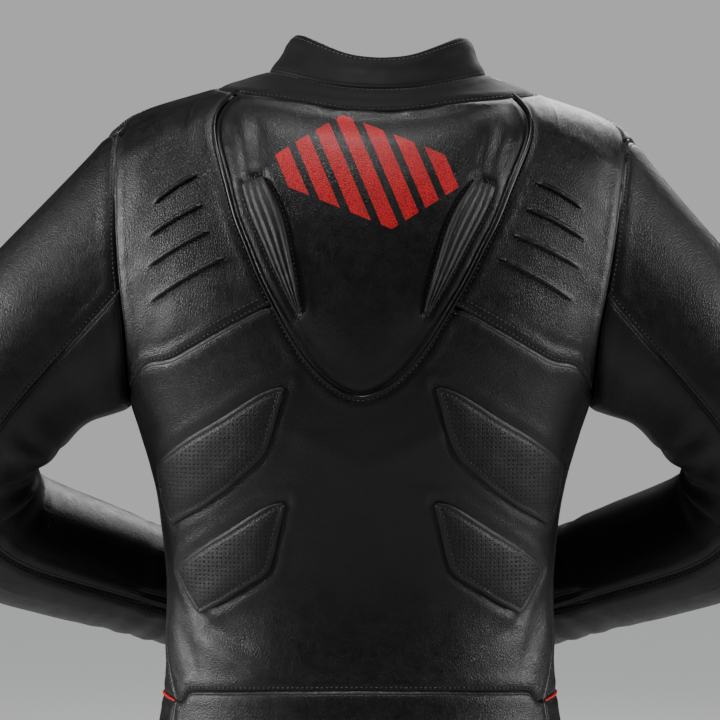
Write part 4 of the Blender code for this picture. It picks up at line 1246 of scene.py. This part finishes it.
class JACKET_OT_zip(bpy.types.Operator):
    """Makes the zip's tape and teeth, and finishes the slider and its pull"""
    bl_idname = "jacket.zip"
    bl_label = "Front zip"

    def execute(self, context):
        tape = rounded(outer_skin("zip_chain"), 2)
        tape.normal_update()
        noted("zip_chain", tape)
        turned_under(tape, TAPE_REACH, TAPE_DROP)
        item = made("zip_tape", tape, "zip_tape")
        walled(item, TAPE_THICKNESS)
        teeth = bmesh.new()
        for count, (place, along) in enumerate(along_row(zip_middle(), TOOTH_STEP)):
            side = 1 if count % 2 else -1
            outward = Vector((0.0, -1.0, 0.0))
            outward = (outward - along * outward.dot(along)).normalized()
            turn = Matrix((along.cross(outward), outward, along)).transposed().to_4x4()
            spot = place + Vector((side * TOOTH_OFFSET, 0.0, 0.0)) + outward * TOOTH_LIFT
            bmesh.ops.create_cube(teeth, size=1.0, matrix=Matrix.Translation(spot) @ turn
                                  @ Matrix.Diagonal((*TOOTH, 1.0)))
        bmesh.ops.bevel(teeth, geom=teeth.edges[:], offset=TOOTH_BEVEL, offset_type='OFFSET', segments=1,
                        profile=0.5, affect='EDGES', material=-1)
        chain = made("zip_teeth", teeth, "dark_metal")
        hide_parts("zip_chain")
        for node in ("zip_slider", "zip_pull"):
            for slot in bpy.data.objects[node].material_slots:
                slot.material = finishes["dark_metal"]
        return {'FINISHED'}


# The stage

def lay_floor():
    """A wide pale floor below the jacket."""
    floor = bmesh.new()
    bmesh.ops.create_grid(floor, x_segments=1, y_segments=1, size=FLOOR_SIZE)
    bmesh.ops.translate(floor, verts=floor.verts, vec=(0.0, 0.0, FLOOR_HEIGHT))
    mesh = mesh_of("floor", floor)
    mesh.materials.append(finishes["pale_floor"])
    placed("floor", mesh)


def hang_lights(strength):
    """Soft lights above, at both sides and in front, and a faint one from the ceiling."""
    for name, place, aim, size, power in LIGHTS:
        lamp = bpy.data.lights.new(name, 'AREA')
        lamp.energy = power * strength
        lamp.size = size
        light = placed(name, lamp)
        light.location = place
        light.rotation_euler = (Vector(aim) - Vector(place)).to_track_quat('-Z', 'Y').to_euler()
    lamp = bpy.data.lights.new("ceiling_light", 'SUN')
    lamp.energy = CEILING_POWER * strength
    lamp.angle = math.radians(60)
    placed("ceiling_light", lamp).rotation_euler = (math.radians(12), 0.0, 0.0)


def paint_room():
    """A room that is pale to the camera and dim to the leather."""
    world = bpy.data.worlds.new("soft_room")
    world.use_nodes = True
    tree = world.node_tree
    dim = tree.nodes["Background"]
    feed(tree, dim, {"Color": (0.85, 0.87, 0.90, 1.0), "Strength": ROOM_LIGHT})
    pale = add(tree, "ShaderNodeBackground", {"Color": (0.46, 0.46, 0.47, 1.0), "Strength": 1.0})
    seen = add(tree, "ShaderNodeLightPath", {}).outputs["Is Camera Ray"]
    room = add(tree, "ShaderNodeMixShader", {0: seen, 1: dim.outputs["Background"],
                                             2: pale.outputs["Background"]})
    feed(tree, tree.nodes["World Output"], {"Surface": room.outputs["Shader"]})
    bpy.context.scene.world = world


def set_camera(distance, lens):
    """A level camera behind the jacket."""
    view = bpy.data.cameras.new("camera")
    view.lens = lens
    view.sensor_width = 36.0
    camera = placed("camera", view)
    camera.location = (0.0, distance, CAMERA_HEIGHT)
    camera.rotation_euler = (math.radians(90), 0.0, math.radians(180))
    bpy.context.scene.camera = camera


class JACKET_OT_stage(bpy.types.Operator):
    """Makes the pale floor, the soft lights and the camera"""
    bl_idname = "jacket.stage"
    bl_label = "Stage"

    def execute(self, context):
        settings = context.scene.jacket_stage
        lay_floor()
        hang_lights(settings.light)
        paint_room()
        set_camera(settings.distance, settings.lens)
        return {'FINISHED'}


STEPS = (
    JACKET_OT_finishes, JACKET_OT_torso, JACKET_OT_neck, JACKET_OT_waistband, JACKET_OT_sleeves,
    JACKET_OT_pads, JACKET_OT_inserts, JACKET_OT_ridges, JACKET_OT_piping, JACKET_OT_zip,
    JACKET_OT_stitches, JACKET_OT_stage,
)


class JACKET_PT_steps(bpy.types.Panel):
    """Lists the settings and the steps that make the jacket"""
    bl_idname = "JACKET_PT_steps"
    bl_label = "Leather jacket"
    bl_space_type = 'VIEW_3D'
    bl_region_type = 'UI'
    bl_category = "Jacket"

    def draw(self, context):
        scene = context.scene
        for settings in (scene.jacket_leather, scene.jacket_sewing, scene.jacket_stage):
            box = self.layout.box()
            for name in settings.__annotations__:
                box.prop(settings, name)
        for step in STEPS:
            self.layout.operator(step.bl_idname)


CLASSES = (JacketLeatherSettings, JacketSewingSettings, JacketStageSettings) + STEPS + (JACKET_PT_steps,)


def register():
    for each in CLASSES:
        bpy.utils.register_class(each)
    bpy.types.Scene.jacket_leather = PointerProperty(type=JacketLeatherSettings)
    bpy.types.Scene.jacket_sewing = PointerProperty(type=JacketSewingSettings)
    bpy.types.Scene.jacket_stage = PointerProperty(type=JacketStageSettings)


def unregister():
    for name in ("jacket_leather", "jacket_sewing", "jacket_stage"):
        delattr(bpy.types.Scene, name)
    for each in reversed(CLASSES):
        bpy.utils.unregister_class(each)


def main():
    """Registers the settings and the steps, and takes the steps in order."""
    register()
    bpy.ops.jacket.finishes()
    bpy.ops.jacket.torso()
    bpy.ops.jacket.neck()
    bpy.ops.jacket.waistband()
    bpy.ops.jacket.sleeves()
    bpy.ops.jacket.pads()
    bpy.ops.jacket.inserts()
    bpy.ops.jacket.ridges()
    bpy.ops.jacket.piping()
    bpy.ops.jacket.zip()
    bpy.ops.jacket.stitches()
    bpy.ops.jacket.stage()
    bpy.context.view_layer.update()


if __name__ == "__main__":
    main()
